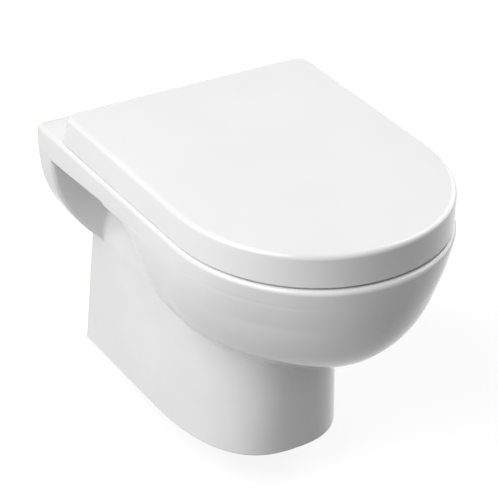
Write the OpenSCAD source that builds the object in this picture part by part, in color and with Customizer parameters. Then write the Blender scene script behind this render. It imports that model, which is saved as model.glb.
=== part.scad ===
// Wall hung toilet pan with a soft close seat and cover.
// Origin midway between the two wall fixing holes, on the wall plane.
// +Z points up, the pan projects from the wall towards -Y.

/* [Pan] */
// Overall width of the pan at the rim
pan_width = 348; // [340:1:368]
// Distance from the wall to the front of the rim
pan_projection = 528; // [505:1:560]
// Height of the ceramic from its underside to the rim
pan_height = 339; // [325:1:355]
// Height of the rim above the wall fixing holes
rim_above_fixing = 80; // [76:1:84]
// Distance from the wall to where the sides start to curve round the front
side_length = 341; // [330:1:350]
// Radius on the upper outer edge of the rim
rim_edge_r = 4; // [3:0.5:7]
// Thickness of the deck band along the sides
deck_thickness = 28; // [24:1:34]
// Depth of the rounded bowl form below the rim
bowl_depth = 188; // [178:1:200]
// Wall thickness of the fired ceramic
ceramic_wall = 10; // [8:0.5:11]
// Depth below the rim where the hollow inside the ceramic begins
hollow_depth = 26; // [25:0.5:27]

/* [Wall flange and shroud] */
// Thickness of the flange that lies against the wall
flange_thickness = 20; // [16:1:24]
// Radius on the front edge of the flange
flange_edge_r = 8; // [5:0.5:9]
// Fillet between the flange and the trap casing
casing_fillet = 8; // [4:1:12]
// Width over which the trap casing runs into its neck under the deck
casing_blend = 16; // [8:1:24]
// Width over which the bowl form runs into the shroud
form_blend = 8; // [4:1:20]
// Depth below the rim where the flange runs into the shroud
shroud_top = 176; // [170:1:182]
// Half width of the shroud where it meets the flange
shroud_top_half = 98; // [94:1:104]
// Half width of the shroud at its underside
shroud_foot_half = 109; // [104:1:114]
// Distance from the wall to the front of the shroud at its top
shroud_reach = 354; // [340:1:364]
// How much further back the shroud's front is at its underside
shroud_rake = 4; // [0:1:8]
// Distance from the wall to where the shroud's front starts to curve
shroud_straight = 170; // [150:1:190]
// Half width of the trap casing under the deck
casing_half = 50; // [48:1:54]
// Radius on the lower edge of the shroud
foot_edge_r = 3.5; // [2.5:0.5:6]

/* [Bowl] */
// Half width of the bowl opening
opening_half = 120; // [112:1:126]
// Distance from the wall to the back of the bowl opening
opening_back = 172; // [166:1:182]
// Distance from the wall to the front of the bowl opening
opening_front = 476; // [462:1:484]
// Radius on the inner edge of the rim
opening_edge_r = 5; // [3:0.5:7]
// Depth of the rim's inner face
rim_lip = 38; // [32:1:44]
// How far the bowl widens under the rim
rim_undercut = 12; // [8:1:14]
// Depth of the bowl floor below the rim
bowl_floor = 176; // [168:1:182]
// Radius of the sump in the bowl floor
sump_r = 33; // [30:1:38]
// Distance from the wall to the centre of the sump
sump_back = 262; // [258:1:266]

/* [Trap and connections] */
// Bore radius of the trap passage
trap_bore_r = 26; // [24:0.5:28]
// Wall thickness of the trap passage
trap_wall = 8; // [6:0.5:9]
// Bend radius of the trap's lower bend
trap_low_bend = 42; // [38:1:46]
// Bend radius over the trap's weir
trap_weir_bend = 40; // [38:1:44]
// Straight fall from the bowl floor to the lower bend
trap_drop = 42; // [36:1:48]
// Height of the weir bend's centre above the lower bend's centre
trap_rise = 60; // [52:1:66]
// Height of the waste outlet below the fixing holes
outlet_below = 100; // [96:1:104]
// Outer radius of the waste outlet
outlet_r = 51; // [49:0.5:53]
// Wall thickness of the waste outlet
outlet_wall = 7; // [6:0.5:9]
// Length of the round waste outlet
outlet_length = 45; // [40:1:50]
// How far the waste outlet stops behind the wall plane
outlet_setback = 2; // [1:0.5:5]
// Height of the flush inlet above the fixing holes
inlet_above = 35; // [33:1:36]
// Bore radius of the flush inlet
inlet_bore_r = 29.5; // [28.5:0.5:30.5]
// Depth of the flush inlet bore
inlet_length = 60; // [50:1:70]
// How deep the flush inlet's mouth is eased open at the wall face
inlet_mouth_ease = 1.5; // [1:0.25:1.75]
// Bore radius of the rubber seal, for a 45 mm flush pipe
seal_bore_r = 22.55; // [22.5:0.05:22.8]
// Length of the rubber seal in the flush inlet
seal_length = 40; // [30:1:46]
// Radius of the passage from the inlet to the rim
flush_channel_r = 16; // [14:1:18]

/* [Wall fixing] */
// Distance between the two wall fixing holes
fixing_spacing = 180; // [180:1:180]
// Radius of the holes in the ceramic flange
fixing_hole_r = 12; // [11:0.5:12]
// Bore radius of the plastic sleeves, for 12 mm studs
sleeve_bore_r = 6.5; // [6.3:0.1:6.8]
// Outer radius of the plastic sleeves
sleeve_r = 10; // [9:0.5:10]
// Radius of the sleeve's collar and the steel washer
fixing_washer_r = 17; // [15:0.5:19]
// Thickness of the sleeve's collar
sleeve_collar = 3; // [2:0.5:4]
// Thickness of the steel washer
fixing_washer_t = 2.5; // [2:0.5:3]
// Width across the flats of the fixing nut
fixing_nut_flats = 19; // [18:0.5:22]
// Height of the fixing nut
fixing_nut_t = 10; // [8:0.5:12]
// Bore radius of the fixing nut
fixing_nut_bore_r = 6.05; // [6.02:0.01:6.1]

/* [Seat cover] */
// Width of the cover
cover_width = 345; // [333:1:345]
// Distance from the wall to the front of the cover
cover_reach = 522; // [500:1:522]
// Distance from the wall to the cover's lower back edge
cover_back = 53; // [51:1:54]
// How far the cover's back leans forward up to its top
cover_back_lean = 15; // [12:1:18]
// Height of the cover's top above the rim
cover_top = 44; // [42:0.5:44.5]
// Gap between the rim and the cover's lower edge
cover_gap = 2.5; // [2:0.5:4]
// Wall thickness of the cover
cover_wall = 5; // [4:0.5:5.5]
// Radius on the cover's upper edge
cover_edge_r = 6; // [5:0.5:9]
// Radius of the cover's back corners in plan
cover_corner_r = 18; // [14:1:22]

/* [Seat ring] */
// Gap between the seat ring and the inside of the cover
ring_gap = 4; // [3:0.5:6]
// Height of the seat ring's underside above the rim
ring_lift = 4; // [3:0.5:5]
// Thickness of the seat ring
ring_thickness = 17; // [14:0.5:18]
// Distance from the wall to the back of the seat ring
ring_back = 93; // [92:1:97]
// Half width of the seat ring's opening
ring_opening_half = 106; // [98:1:112]
// Distance from the wall to the back of the seat ring's opening
ring_opening_back = 184; // [178:1:192]
// Distance from the wall to the front of the seat ring's opening
ring_opening_front = 458; // [448:1:464]
// Rounding of the seat ring's edges
ring_edge_r = 5; // [3:0.5:6]

/* [Hinge] */
// Distance between the two seat fixing holes
hinge_spacing = 155; // [155:1:155]
// Distance from the wall to the seat fixing holes
hinge_hole_back = 76; // [75:0.5:77]
// Distance from the wall to the hinge axis
axis_back = 64; // [63.5:0.1:64]
// Height of the hinge axis above the rim
axis_height = 26.5; // [26.4:0.1:27]
// Radius of the hinge pins
pin_r = 4; // [3.5:0.1:4.5]
// Running clearance round the hinge pins
pin_clearance = 0.05; // [0.02:0.01:0.09]
// Outer radius of the hinge barrels
barrel_r = 10.5; // [9.5:0.25:10.5]
// Width of the hinge post across the axis
post_width = 26; // [22:1:28]
// Radius of the hinge post
post_r = 7; // [6:0.5:7.5]
// Side clearance between neighbouring hinge pieces
side_clearance = 0.6; // [0.4:0.1:1]
// Length of a barrel that holds a damper
damper_barrel = 40; // [36:1:42]
// Length of a barrel that holds a plain bush
bush_barrel = 16; // [14:1:18]
// Radius of the damper's body
damper_r = 7; // [6.5:0.25:7.5]
// Outer radius of the plain bushes
bush_r = 6; // [5.5:0.25:6.5]
// Thickness of the closed end of a barrel
barrel_end_wall = 4; // [3:0.5:5]

/* [Seat fixing] */
// Radius of the seat fixing holes in the deck
seat_hole_r = 8; // [7:0.5:8.5]
// Radius of the threaded seat studs
seat_stud_r = 4; // [3.5:0.5:4]
// Radius of the round base discs
disc_r = 13; // [11:0.5:13]
// Thickness of the base discs
disc_t = 3; // [2.5:0.5:3.5]
// Thickness of the soft gasket under a base disc
gasket_t = 1.5; // [1:0.25:2]
// Length of the stud below the deck
stud_tail = 30; // [26:1:34]
// Radius of the washer under the deck
stud_washer_r = 14; // [12:0.5:15]
// Thickness of the washer under the deck
stud_washer_t = 2.5; // [2:0.5:3]
// Radius of the wing nut's hub
wing_hub_r = 8; // [7:0.5:9]
// Height of the wing nut
wing_nut_t = 12; // [10:0.5:14]
// Overall span of the wing nut
wing_span = 38; // [32:1:42]

/* [Buffers] */
// Radius of the rubber buffers
buffer_r = 8; // [6:0.5:9]
// Distance from the wall to the buffers at the sides
side_buffer_back = 230; // [215:1:260]
// Clearance left where one piece rests on another
rest_clearance = 0.3; // [0.2:0.05:0.4]

/* [Hidden] */
$fn = 48;
cut = 1;
hair = 0.2;
trap_sides = 17;

rim_z = rim_above_fixing;
skin = 0.85 * ceramic_wall;
pan_half = pan_width / 2;
casing_columns = 6;
stern_columns = 9;
nose_columns = 13;
stern_limit = 250;
nose_limit = 300;
flange_power = 2.2;
flange_straight = 20;
casing_slope = 0.58;
casing_ease = 15;
side_power = 2.46;
keel_power = 2.33;
nose_power = 2.05;
nose_power_loss = 0.2;
nose_shift = 0.255;
stern_back = 142;
stern_shift = 0.455;
stern_length = 152;
stern_power = 3.25;
shroud_power = 2.6;
bowl_bulge = 0.55;
nose_loss_depth = 60;
stern_crowding = 0.6;
edge_share = 0.4;
bowl_steps = 12;
keel_steps = [0.3, 0.6, 0.85, 1];
shroud_steps = [0.12, 0.4, 0.7];
cavity_steps = 10;
lip_steps = [0, 0.3, 0.6, 1];
ring_corner = 6;
ring_slope = [[0, 2], [0.5, 1.2], [2, 0.6], [6, 0.2]];

axis_y = -axis_back;
axis_z = rim_z + axis_height;
hole_x = hinge_spacing / 2;
hole_y = -hinge_hole_back;
cover_half = cover_width / 2;
cover_bottom = rim_z + cover_gap;
cover_top_z = rim_z + cover_top;
ring_bottom = rim_z + ring_lift;
ring_top = ring_bottom + ring_thickness;
ring_half = cover_half - cover_wall - ring_gap;
ring_reach = cover_reach - cover_wall - ring_gap;
post_inner = hole_x - post_width / 2;
post_outer = hole_x + post_width / 2;
notch_inner = post_inner - damper_barrel - 3 * side_clearance;
notch_outer = post_outer + side_clearance / 2;
post_foot = rim_z + gasket_t + disc_t;
post_head_r = barrel_r - 3;
seat_barrel_end = post_inner - side_clearance;
cover_barrel_start = post_outer + side_clearance;
damper_depth = damper_barrel - barrel_end_wall - side_clearance;
bush_depth = bush_barrel - barrel_end_wall - side_clearance;
pin_in_damper = damper_depth - barrel_end_wall;
arm_share = 0.8;
nose_pad_x = 0.7 * ring_opening_half;
stud_grip = 2.5 * seat_stud_r;
stud_socket = 3 * seat_stud_r;
nut_face_z = rim_z - deck_thickness - rest_clearance - stud_washer_t;
wing_r = 0.45 * wing_nut_t;
wing_t = 2 / 3 * wing_r;
web_height = 0.9 * wing_nut_t;
collar_y = flange_thickness + hair;
washer_y = collar_y + sleeve_collar;
nut_y = washer_y + fixing_washer_t;
inlet_z = inlet_above;
outlet_z = -outlet_below;

// Quarter of a superellipse, from 1 at t = 0 down to 0 at t = 1
function lame(t, p) = pow(max(1 - pow(min(max(t, 0), 1), p), 0), 1 / p);

// Larger of two values, eased into each other over a width k
function soft_max(a, b, k) =
    let (h = max(k - abs(a - b), 0) / k)
    max(a, b) + h * h * k / 4;

// Outline of both sides from the outline of one side, at height z
function ring_of(half, z) = concat(
    [for (p = half) [p[0], p[1], z]],
    [for (i = [len(half) - 2:-1:0]) [-half[i][0], half[i][1], z]]
);

// Closed solid through rings of equal length, listed from the top down
module loft(rings, looped = false) {
    n = len(rings[0]);
    k = len(rings);
    m = (n - 1) / 2;
    last = (k - 1) * n;
    points = [for (r = rings) each r];
    sides = [
        for (j = [0:looped ? k - 1 : k - 2])
            for (i = [0:n - 1])
                let (a = j * n, b = ((j + 1) % k) * n, i2 = (i + 1) % n)
                each [[a + i2, a + i, b + i], [a + i2, b + i, b + i2]]
    ];
    top = [
        for (i = [0:m - 2])
            each [[i, i + 1, n - 2 - i], [i, n - 2 - i, n - 1 - i]]
    ];
    bottom = [for (f = concat(top, [[m - 1, m, m + 1]])) [last + f[2], last + f[1], last + f[0]]];
    caps = looped ? [] : concat(top, [[m - 1, m, m + 1]], bottom);
    polyhedron(points = points, faces = concat(sides, caps), convexity = 10);
}

// Half widths and reaches of the pan's outer form, by depth d below the rim
function nose_centre(d) = -side_length + nose_shift * d;
function bowl_half(d) = pan_half * lame(d / bowl_depth, side_power);
function bowl_nose(d) = (pan_projection + nose_centre(d)) * lame(d / bowl_depth, keel_power);
function nose_curve(d) = nose_power - nose_power_loss * min(d / nose_loss_depth, 1);
function shroud_at(d) = (d - shroud_top) / (pan_height - shroud_top);
function casing_taper(u) = casing_slope * u * u / (u + casing_ease);
function shroud_half(d) = d < shroud_top
    ? soft_max(casing_half, shroud_top_half - casing_taper(shroud_top - d), casing_blend)
    : shroud_top_half + (shroud_foot_half - shroud_top_half) * shroud_at(d);
function shroud_front(d) = shroud_reach - shroud_rake * max(shroud_at(d), 0);
function flange_half(d) =
    let (t = min(max((d - flange_straight) / (shroud_top - flange_straight), 0), 1))
    shroud_top_half + (pan_half - shroud_top_half) * (1 - pow(t, flange_power));
function pan_front(d) = max(bowl_nose(d) - nose_centre(d), shroud_front(d));

// Half width of the bowl form at distance y and depth d
function bowl_x(y, d) =
    let (stern = -stern_back - stern_shift * d - stern_length)
    d >= bowl_depth ? 0
    : y < nose_centre(d) ? bowl_half(d) * lame((nose_centre(d) - y) / bowl_nose(d), nose_curve(d))
    : bowl_half(d) * lame((y - stern) / stern_length, stern_power);
function deck_x(y, d) = bowl_half(d) * lame((nose_centre(d) - y) / bowl_nose(d), nose_curve(d));
function shroud_x(y, d) =
    shroud_half(d) * lame((-shroud_straight - y) / (shroud_front(d) - shroud_straight), shroud_power);
function under_x(y, d) = soft_max(shroud_x(y, d), bowl_x(y, d), form_blend)
    * (y <= -pan_front(d) ? 0 : 1);
function pan_x(y, d) = d <= deck_thickness ? deck_x(y, d) : under_x(y, d);

// Distances at which the pan's outline is drawn, from start to -front
function stern_foot(d) =
    let (r = d < bowl_depth ? min(shroud_half(d) / bowl_half(d), 1) : 1)
    max(-stern_back - stern_shift * d - stern_length * (1 - lame(r, stern_power)), -stern_limit);
function columns(d, start, front) =
    let (foot = stern_foot(d), nose = min(nose_centre(d), -nose_limit))
    concat(
        [for (c = [1:casing_columns]) start + (foot - start) * c / casing_columns],
        [
            for (c = [1:stern_columns])
                foot + (nose - foot) * (1 - pow(cos(90 * c / stern_columns), stern_crowding))
        ],
        [for (c = [1:nose_columns]) nose - (front + nose) * sin(90 * c / nose_columns)]
    );

// One side of the pan's outline at depth d, drawn in by inset
function pan_outline(d, inset) =
    let (
        recessed = d > deck_thickness && d < shroud_top,
        wall_x = recessed ? flange_half(d) : pan_x(0, d),
        case_x = recessed ? shroud_half(d) : wall_x,
        edge = min(flange_edge_r, edge_share * (wall_x - case_x)),
        fillet = min(casing_fillet, edge_share * (wall_x - case_x)),
        start = -flange_thickness - casing_fillet,
        sx = 1 - inset / pan_x(-shroud_straight, d),
        sy = 1 - inset / pan_front(d)
    )
    concat(
        [[wall_x * sx, 0]],
        [
            for (a = [0:30:90])
                [(wall_x - edge * (1 - cos(a))) * sx, -flange_thickness + flange_edge_r * (1 - sin(a))]
        ],
        [
            for (a = [0:45:90])
                [
                    (case_x + fillet * (1 - sin(a))) * sx,
                    -flange_thickness - hair - (casing_fillet - hair) * (1 - cos(a))
                ]
        ],
        [
            for (y = columns(d, start, pan_front(d)))
                [y < hair - pan_front(d) ? 0 : pan_x(y, d) * sx, y * sy]
        ]
    );

module pan_outer() {
    rim_rows = [for (a = [0:30:90]) [rim_edge_r * (1 - cos(a)), rim_edge_r * (1 - sin(a))]];
    band_rows = [[deck_thickness / 2, 0], [deck_thickness, 0], [deck_thickness + hair, 0]];
    bowl_rows = [
        for (i = [1:bowl_steps])
            [deck_thickness + (shroud_top - deck_thickness) * sin(90 * i / bowl_steps), 0]
    ];
    keel_rows = [
        for (f = keel_steps)
            [shroud_top + (bowl_depth - shroud_top) * f, 0]
    ];
    shroud_rows = [
        for (f = shroud_steps)
            [bowl_depth + (pan_height - bowl_depth) * f, 0]
    ];
    foot_rows = [
        for (a = [0:45:90])
            [pan_height - foot_edge_r * (1 - sin(a)), foot_edge_r * (1 - cos(a))]
    ];
    rows = concat(rim_rows, band_rows, bowl_rows, keel_rows, shroud_rows, foot_rows);
    loft([for (r = rows) ring_of(pan_outline(r[0], r[1]), rim_z - r[0])]);
}

// Half width of the space between the pan's skins at distance y and depth d
function cavity_x(y, d) = min([
    for (dy = [-skin, 0, skin])
        for (dd = [-skin, 0, skin])
            under_x(y + dy, d + dd)
]) - skin;
function cavity_front(d) = min([for (dd = [-skin, 0, skin]) pan_front(d + dd)]) - ceramic_wall;

// One side of the space between the pan's skins at depth d
function cavity_outline(d) =
    concat(
        [[cavity_x(-skin, d), cut]],
        [
            for (y = columns(d, -skin, cavity_front(d)))
                [y < hair - cavity_front(d) ? 0 : max(cavity_x(y, d), hair), y]
        ]
    );

// One side of the bowl's inside at depth d, grown by g
function bowl_inside(d, g) =
    let (
        t = min(max((d - rim_lip) / (bowl_floor - rim_lip), 0), 1),
        lip = max(opening_edge_r - d, 0),
        wide = d > rim_lip ? rim_undercut : lip * lip / opening_edge_r,
        k = lame(t, 2) * bowl_bulge + (1 - t * t) * (1 - bowl_bulge),
        centre = -(opening_back + opening_front) / 2 * k - sump_back * (1 - k),
        half = sump_r + (opening_half + wide - sump_r) * k + g,
        front = sump_r + ((opening_front - opening_back) / 2 + wide - sump_r) * k + g,
        back = -(opening_back - wide) * (1 - t) - (sump_back - sump_r) * t + g - centre
    )
    [
        for (b = [-80:10:90])
            [b == 90 ? 0 : half * cos(b), centre - (b > 0 ? front : back) * sin(b)]
    ];

module bowl_void(g) {
    lip_depths = g > 0
        ? [deck_thickness / 2, rim_lip]
        : [for (f = lip_steps) opening_edge_r * f];
    under = [for (i = [1:9]) rim_lip + (bowl_floor - rim_lip) * sin(10 * i)];
    depths = concat(lip_depths, g > 0 ? [] : [rim_lip], [rim_lip + cut], under);
    top = g > 0 ? [] : [ring_of(bowl_inside(0, g), rim_z + cut)];
    loft(concat(
        top,
        [
            for (i = [0:len(depths) - 1])
                ring_of(bowl_inside(depths[i], g), rim_z - depths[i] - (depths[i] > rim_lip ? g : 0))
        ]
    ));
}

// Stations of the trap passage: distance, height and direction of travel
function trap_stations() =
    let (
        low_z = rim_z - bowl_floor - trap_drop,
        low_y = -sump_back + trap_low_bend,
        weir_z = low_z + trap_rise,
        weir_y = low_y + trap_low_bend + trap_weir_bend,
        slope_y = weir_y + trap_weir_bend * cos(45),
        slope_z = weir_z + trap_weir_bend * sin(45),
        turn_z = outlet_z + trap_weir_bend,
        turn_y = slope_y + slope_z - turn_z + 2 * trap_weir_bend * sin(45)
    )
    concat(
        [[-sump_back, rim_z - bowl_floor, 0, -1]],
        [
            for (a = [180:22.5:360])
                [low_y + trap_low_bend * cos(a), low_z + trap_low_bend * sin(a), -sin(a), cos(a)]
        ],
        [
            for (a = [180:-22.5:45])
                [weir_y + trap_weir_bend * cos(a), weir_z + trap_weir_bend * sin(a), sin(a), -cos(a)]
        ],
        [
            for (a = [225:22.5:270])
                [turn_y + trap_weir_bend * cos(a), turn_z + trap_weir_bend * sin(a), -sin(a), cos(a)]
        ],
        [[-outlet_length / 2, outlet_z, 1, 0]]
    );

// Round passage of radius r along the trap's stations
module trap_path(r) {
    loft([
        for (s = trap_stations())
            [
                for (i = [0:trap_sides - 1])
                    let (u = r * cos(360 * i / trap_sides), v = r * sin(360 * i / trap_sides))
                    [u, s[0] + v * s[3], s[1] - v * s[2]]
            ]
    ]);
}

module along_wall_axis(x, z, from, to, r) {
    translate([x, -from, z])
        rotate([90, 0, 0])
            cylinder(h = to - from, r = r);
}

module cavity() {
    depths = concat(
        [for (f = [0:cavity_steps]) hollow_depth + (bowl_depth - skin - hollow_depth) * f / cavity_steps],
        [bowl_depth + skin, pan_height - ceramic_wall]
    );
    difference() {
        loft([for (d = depths) ring_of(cavity_outline(d), rim_z - d)]);
        bowl_void(ceramic_wall);
        trap_path(trap_bore_r + trap_wall);
        along_wall_axis(0, outlet_z, outlet_setback, outlet_setback + outlet_length, outlet_r);
        translate([-casing_half, -inlet_length - ceramic_wall, inlet_z - inlet_bore_r - ceramic_wall])
            cube([2 * casing_half, inlet_length + ceramic_wall + 2 * cut, pan_height]);
        along_wall_axis(0, inlet_z, inlet_length, opening_back, flush_channel_r + trap_wall);
    }
}

module pan() {
    color("white")
        difference() {
            pan_outer();
            cavity();
            bowl_void(0);
            trap_path(trap_bore_r);
            along_wall_axis(0, outlet_z, -cut, outlet_length, outlet_r - outlet_wall);
            along_wall_axis(0, inlet_z, -cut, inlet_length, inlet_bore_r);
            translate([0, hair, inlet_z])
                rotate([90, 0, 0])
                    cylinder(
                        h = inlet_mouth_ease + 2 * hair,
                        r1 = inlet_bore_r + inlet_mouth_ease + hair,
                        r2 = inlet_bore_r - hair
                    );
            along_wall_axis(0, inlet_z, inlet_length - cut, opening_back + ceramic_wall, flush_channel_r);
            for (side = [-1, 1]) {
                along_wall_axis(side * fixing_spacing / 2, 0, -cut, flange_thickness + cut, fixing_hole_r);
                translate([side * hole_x, hole_y, rim_z - deck_thickness - cut])
                    cylinder(h = deck_thickness + 2 * cut, r = seat_hole_r);
            }
        }
}

// One side of a D shaped outline, with rounded back corners
function d_outline(half, back, corner, straight, reach, back_points = 0) = concat(
    [for (i = [0.5:1:back_points]) [(half - corner) * i / (back_points + 0.5), -back]],
    [for (a = [0:15:90]) [half - corner * (1 - sin(a)), -back - corner * (1 - cos(a))]],
    [for (i = [1:4]) [half, -back - corner - (straight - back - corner) * i / 4]],
    [
        for (a = [6:6:90])
            [
                a == 90 ? 0 : half * pow(cos(a), 2 / nose_power),
                -straight - (reach - straight) * pow(sin(a), 2 / nose_power)
            ]
    ]
);

// One side of the cover's outline at height z, drawn in by inset
function cover_outline(inset, z) =
    let (back = cover_back + cover_back_lean * (z - cover_bottom) / (cover_top_z - cover_bottom))
    d_outline(
        cover_half - inset,
        back + inset,
        max(cover_corner_r - inset, cover_wall / 2),
        side_length,
        cover_reach - inset
    );

module cover_shell() {
    ceiling = cover_top_z - cover_wall;
    outer = [
        for (a = [0:22.5:90])
            [cover_edge_r * (1 - sin(a)), cover_top_z - cover_edge_r * (1 - cos(a))]
    ];
    lip = [
        [0, cover_bottom + cover_wall / 5],
        [cover_wall / 5, cover_bottom],
        [cover_wall * 4 / 5, cover_bottom],
        [cover_wall, cover_bottom + cover_wall / 5]
    ];
    inner = [
        for (a = [90:-45:0])
            [cover_wall + cover_wall * (1 - sin(a)), ceiling - cover_wall * (1 - cos(a))]
    ];
    loft([for (r = concat(outer, lip, inner)) ring_of(cover_outline(r[0], r[1]), r[1])]);
}

// Cylinder along X on the hinge axis
module on_axis(from, to, r) {
    translate([from, axis_y, axis_z])
        rotate([0, 90, 0])
            cylinder(h = to - from, r = r);
}

// Places a hinge half: side is 1 on the right and -1 on the left
module hinge_side(side) {
    mirror([side < 0 ? 1 : 0, 0, 0])
        children();
}

// The damper sits in the seat's barrel on the right and in the cover's on the left
function seat_barrel(side) = side > 0 ? damper_barrel : bush_barrel;
function cover_barrel(side) = side > 0 ? bush_barrel : damper_barrel;
function barrel_bore(length) = length == damper_barrel ? damper_r : bush_r;

module cover() {
    web = barrel_r - side_clearance;
    color("white")
        difference() {
            union() {
                difference() {
                    cover_shell();
                    for (side = [-1, 1])
                        hinge_side(side)
                            translate([notch_inner, axis_y - barrel_r - cover_wall, cover_bottom - cut])
                                cube([
                                    notch_outer - notch_inner,
                                    axis_back + barrel_r,
                                    cover_top - cover_gap - cover_wall + cut + hair
                                ]);
                }
                for (side = [-1, 1])
                    hinge_side(side) {
                        on_axis(cover_barrel_start, cover_barrel_start + cover_barrel(side), barrel_r);
                        translate([cover_barrel_start + cover_barrel(side), 0, 0])
                            rotate([0, -90, 0])
                                linear_extrude(height = cover_barrel(side))
                                    polygon([
                                        [axis_z, axis_y - web],
                                        [cover_top_z - cover_wall / 2, axis_y - web],
                                        [cover_top_z - cover_wall / 2, -cover_back - cover_back_lean],
                                        [axis_z, axis_y + web / 2]
                                    ]);
                    }
            }
            for (side = [-1, 1])
                hinge_side(side)
                    on_axis(
                        cover_barrel_start - cut,
                        cover_barrel_start + cover_barrel(side) - barrel_end_wall,
                        barrel_bore(cover_barrel(side))
                    );
        }
}

// One side of the seat opening's outline, at the bearings of an outer outline
function opening_outline(outer, grow) =
    let (
        centre = -(ring_opening_back + ring_opening_front) / 2,
        long = (ring_opening_front - ring_opening_back) / 2 + grow,
        wide = ring_opening_half + grow
    )
    [
        for (p = outer)
            let (b = atan2(p[0] / wide, (p[1] - centre) / long))
            [p[0] == 0 ? 0 : wide * sin(b), centre + long * cos(b)]
    ];

// One side of the seat ring's outline, drawn in by inset
function ring_outline(inset) =
    d_outline(
        ring_half - inset,
        ring_back + inset,
        ring_corner * ring_edge_r,
        side_length,
        ring_reach - inset,
        5
    );

module ring_body() {
    e = ring_edge_r;
    outer_rows = [
        [e, ring_top],
        [e / 4, ring_top - e / 4],
        [0, ring_top - e],
        [0, ring_bottom + e / 4],
        [e / 4, ring_bottom]
    ];
    inner_rows = [
        [e / 2, ring_bottom],
        [0, ring_bottom + e / 2],
        for (s = ring_slope) [s[0] * e, ring_top - s[1] * e]
    ];
    loft(
        concat(
            [for (r = outer_rows) ring_of(ring_outline(r[0]), r[1])],
            [for (r = inner_rows) ring_of(opening_outline(ring_outline(0), r[0]), r[1])]
        ),
        looped = true
    );
}

module seat_ring() {
    arm_start = -ring_back - 2 * ring_edge_r;
    color("white")
        difference() {
            union() {
                ring_body();
                for (side = [-1, 1])
                    hinge_side(side) {
                        on_axis(seat_barrel_end - seat_barrel(side), seat_barrel_end, barrel_r);
                        translate([seat_barrel_end, 0, 0])
                            rotate([0, -90, 0])
                                linear_extrude(height = seat_barrel(side))
                                    polygon([
                                        [ring_bottom + ring_edge_r, arm_start],
                                        [ring_top - ring_edge_r / 4, arm_start],
                                        [ring_top - ring_edge_r / 4, -ring_back],
                                        [axis_z + barrel_r * arm_share, axis_y],
                                        [axis_z - barrel_r * arm_share, axis_y]
                                    ]);
                    }
            }
            for (side = [-1, 1])
                hinge_side(side)
                    on_axis(
                        seat_barrel_end - seat_barrel(side) + barrel_end_wall,
                        seat_barrel_end + cut,
                        barrel_bore(seat_barrel(side))
                    );
        }
}

// Round pads in four places, between two heights
module pads(side_x, nose_y, from, to) {
    for (side = [-1, 1]) {
        translate([side * side_x, -side_buffer_back, from])
            cylinder(h = to - from, r = buffer_r);
        translate([side * nose_pad_x, nose_y, from])
            cylinder(h = to - from, r = buffer_r);
    }
}

module cover_buffers() {
    color("lightgray")
        pads(
            (ring_half + ring_opening_half) / 2,
            -(ring_reach + ring_opening_front) / 2 + 3 * buffer_r,
            ring_top + rest_clearance,
            cover_top_z - cover_wall
        );
}

module seat_buffers() {
    color("lightgray")
        pads(
            (ring_half + opening_half) / 2,
            -(ring_reach + opening_front) / 2 + 3 * buffer_r,
            rim_z + rest_clearance,
            ring_bottom
        );
}

module hinge_post(side) {
    color("silver")
        hinge_side(side)
            difference() {
                union() {
                    translate([hole_x, hole_y, post_foot])
                        cylinder(h = axis_z - post_foot, r = post_r);
                    on_axis(post_inner, post_outer, post_head_r);
                    translate([post_inner, hole_y - post_r / 2, axis_z - post_r])
                        cube([post_width, axis_y - hole_y + post_r / 2, 2 * post_r]);
                }
                on_axis(post_inner - cut, post_outer + cut, pin_r + pin_clearance / 2);
                translate([hole_x, hole_y, post_foot - cut])
                    cylinder(h = stud_socket + cut, r = seat_stud_r + pin_clearance);
            }
}

module hinge_post_left() {
    hinge_post(-1);
}

module hinge_post_right() {
    hinge_post(1);
}

module hinge_pin(side) {
    inner = side > 0 ? pin_in_damper : bush_depth;
    outer = side > 0 ? bush_depth : pin_in_damper;
    color("silver")
        hinge_side(side)
            on_axis(seat_barrel_end - inner, cover_barrel_start + outer, pin_r);
}

module hinge_pin_left() {
    hinge_pin(-1);
}

module hinge_pin_right() {
    hinge_pin(1);
}

// Soft close damper that turns on the pin from its open end
module damper(from, direction) {
    to = from + direction * damper_depth;
    bore_to = from + direction * (pin_in_damper + side_clearance);
    difference() {
        on_axis(min(from, to), max(from, to), damper_r - pin_clearance);
        on_axis(min(from - direction, bore_to), max(from - direction, bore_to), pin_r + pin_clearance);
    }
}

module seat_damper() {
    color("dimgray")
        hinge_side(1)
            damper(seat_barrel_end, -1);
}

module cover_damper() {
    color("dimgray")
        hinge_side(-1)
            damper(cover_barrel_start, 1);
}

// Plain bush round the pin, between two distances from the middle
module bush(from, to) {
    difference() {
        on_axis(from, to, bush_r - pin_clearance);
        on_axis(from - cut, to + cut, pin_r + pin_clearance);
    }
}

module seat_hinge_bush() {
    color("gainsboro")
        hinge_side(-1)
            bush(seat_barrel_end - bush_depth, seat_barrel_end);
}

module cover_hinge_bush() {
    color("gainsboro")
        hinge_side(1)
            bush(cover_barrel_start, cover_barrel_start + bush_depth);
}

// Round ring standing on each seat fixing hole
module at_seat_holes(from, to, outer_r, inner_r) {
    for (side = [-1, 1])
        translate([side * hole_x, hole_y, from])
            difference() {
                cylinder(h = to - from, r = outer_r);
                translate([0, 0, -cut])
                    cylinder(h = to - from + 2 * cut, r = inner_r);
            }
}

module base_discs() {
    color("silver")
        at_seat_holes(rim_z + gasket_t, post_foot, disc_r, seat_stud_r + rest_clearance);
}

module disc_gaskets() {
    color("dimgray")
        at_seat_holes(rim_z, rim_z + gasket_t, disc_r - 1, seat_stud_r + rest_clearance);
}

module seat_studs() {
    color("silver")
        for (side = [-1, 1])
            translate([side * hole_x, hole_y, rim_z - deck_thickness - stud_tail])
                cylinder(h = stud_tail + deck_thickness + gasket_t + disc_t + stud_grip, r = seat_stud_r);
}

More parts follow.
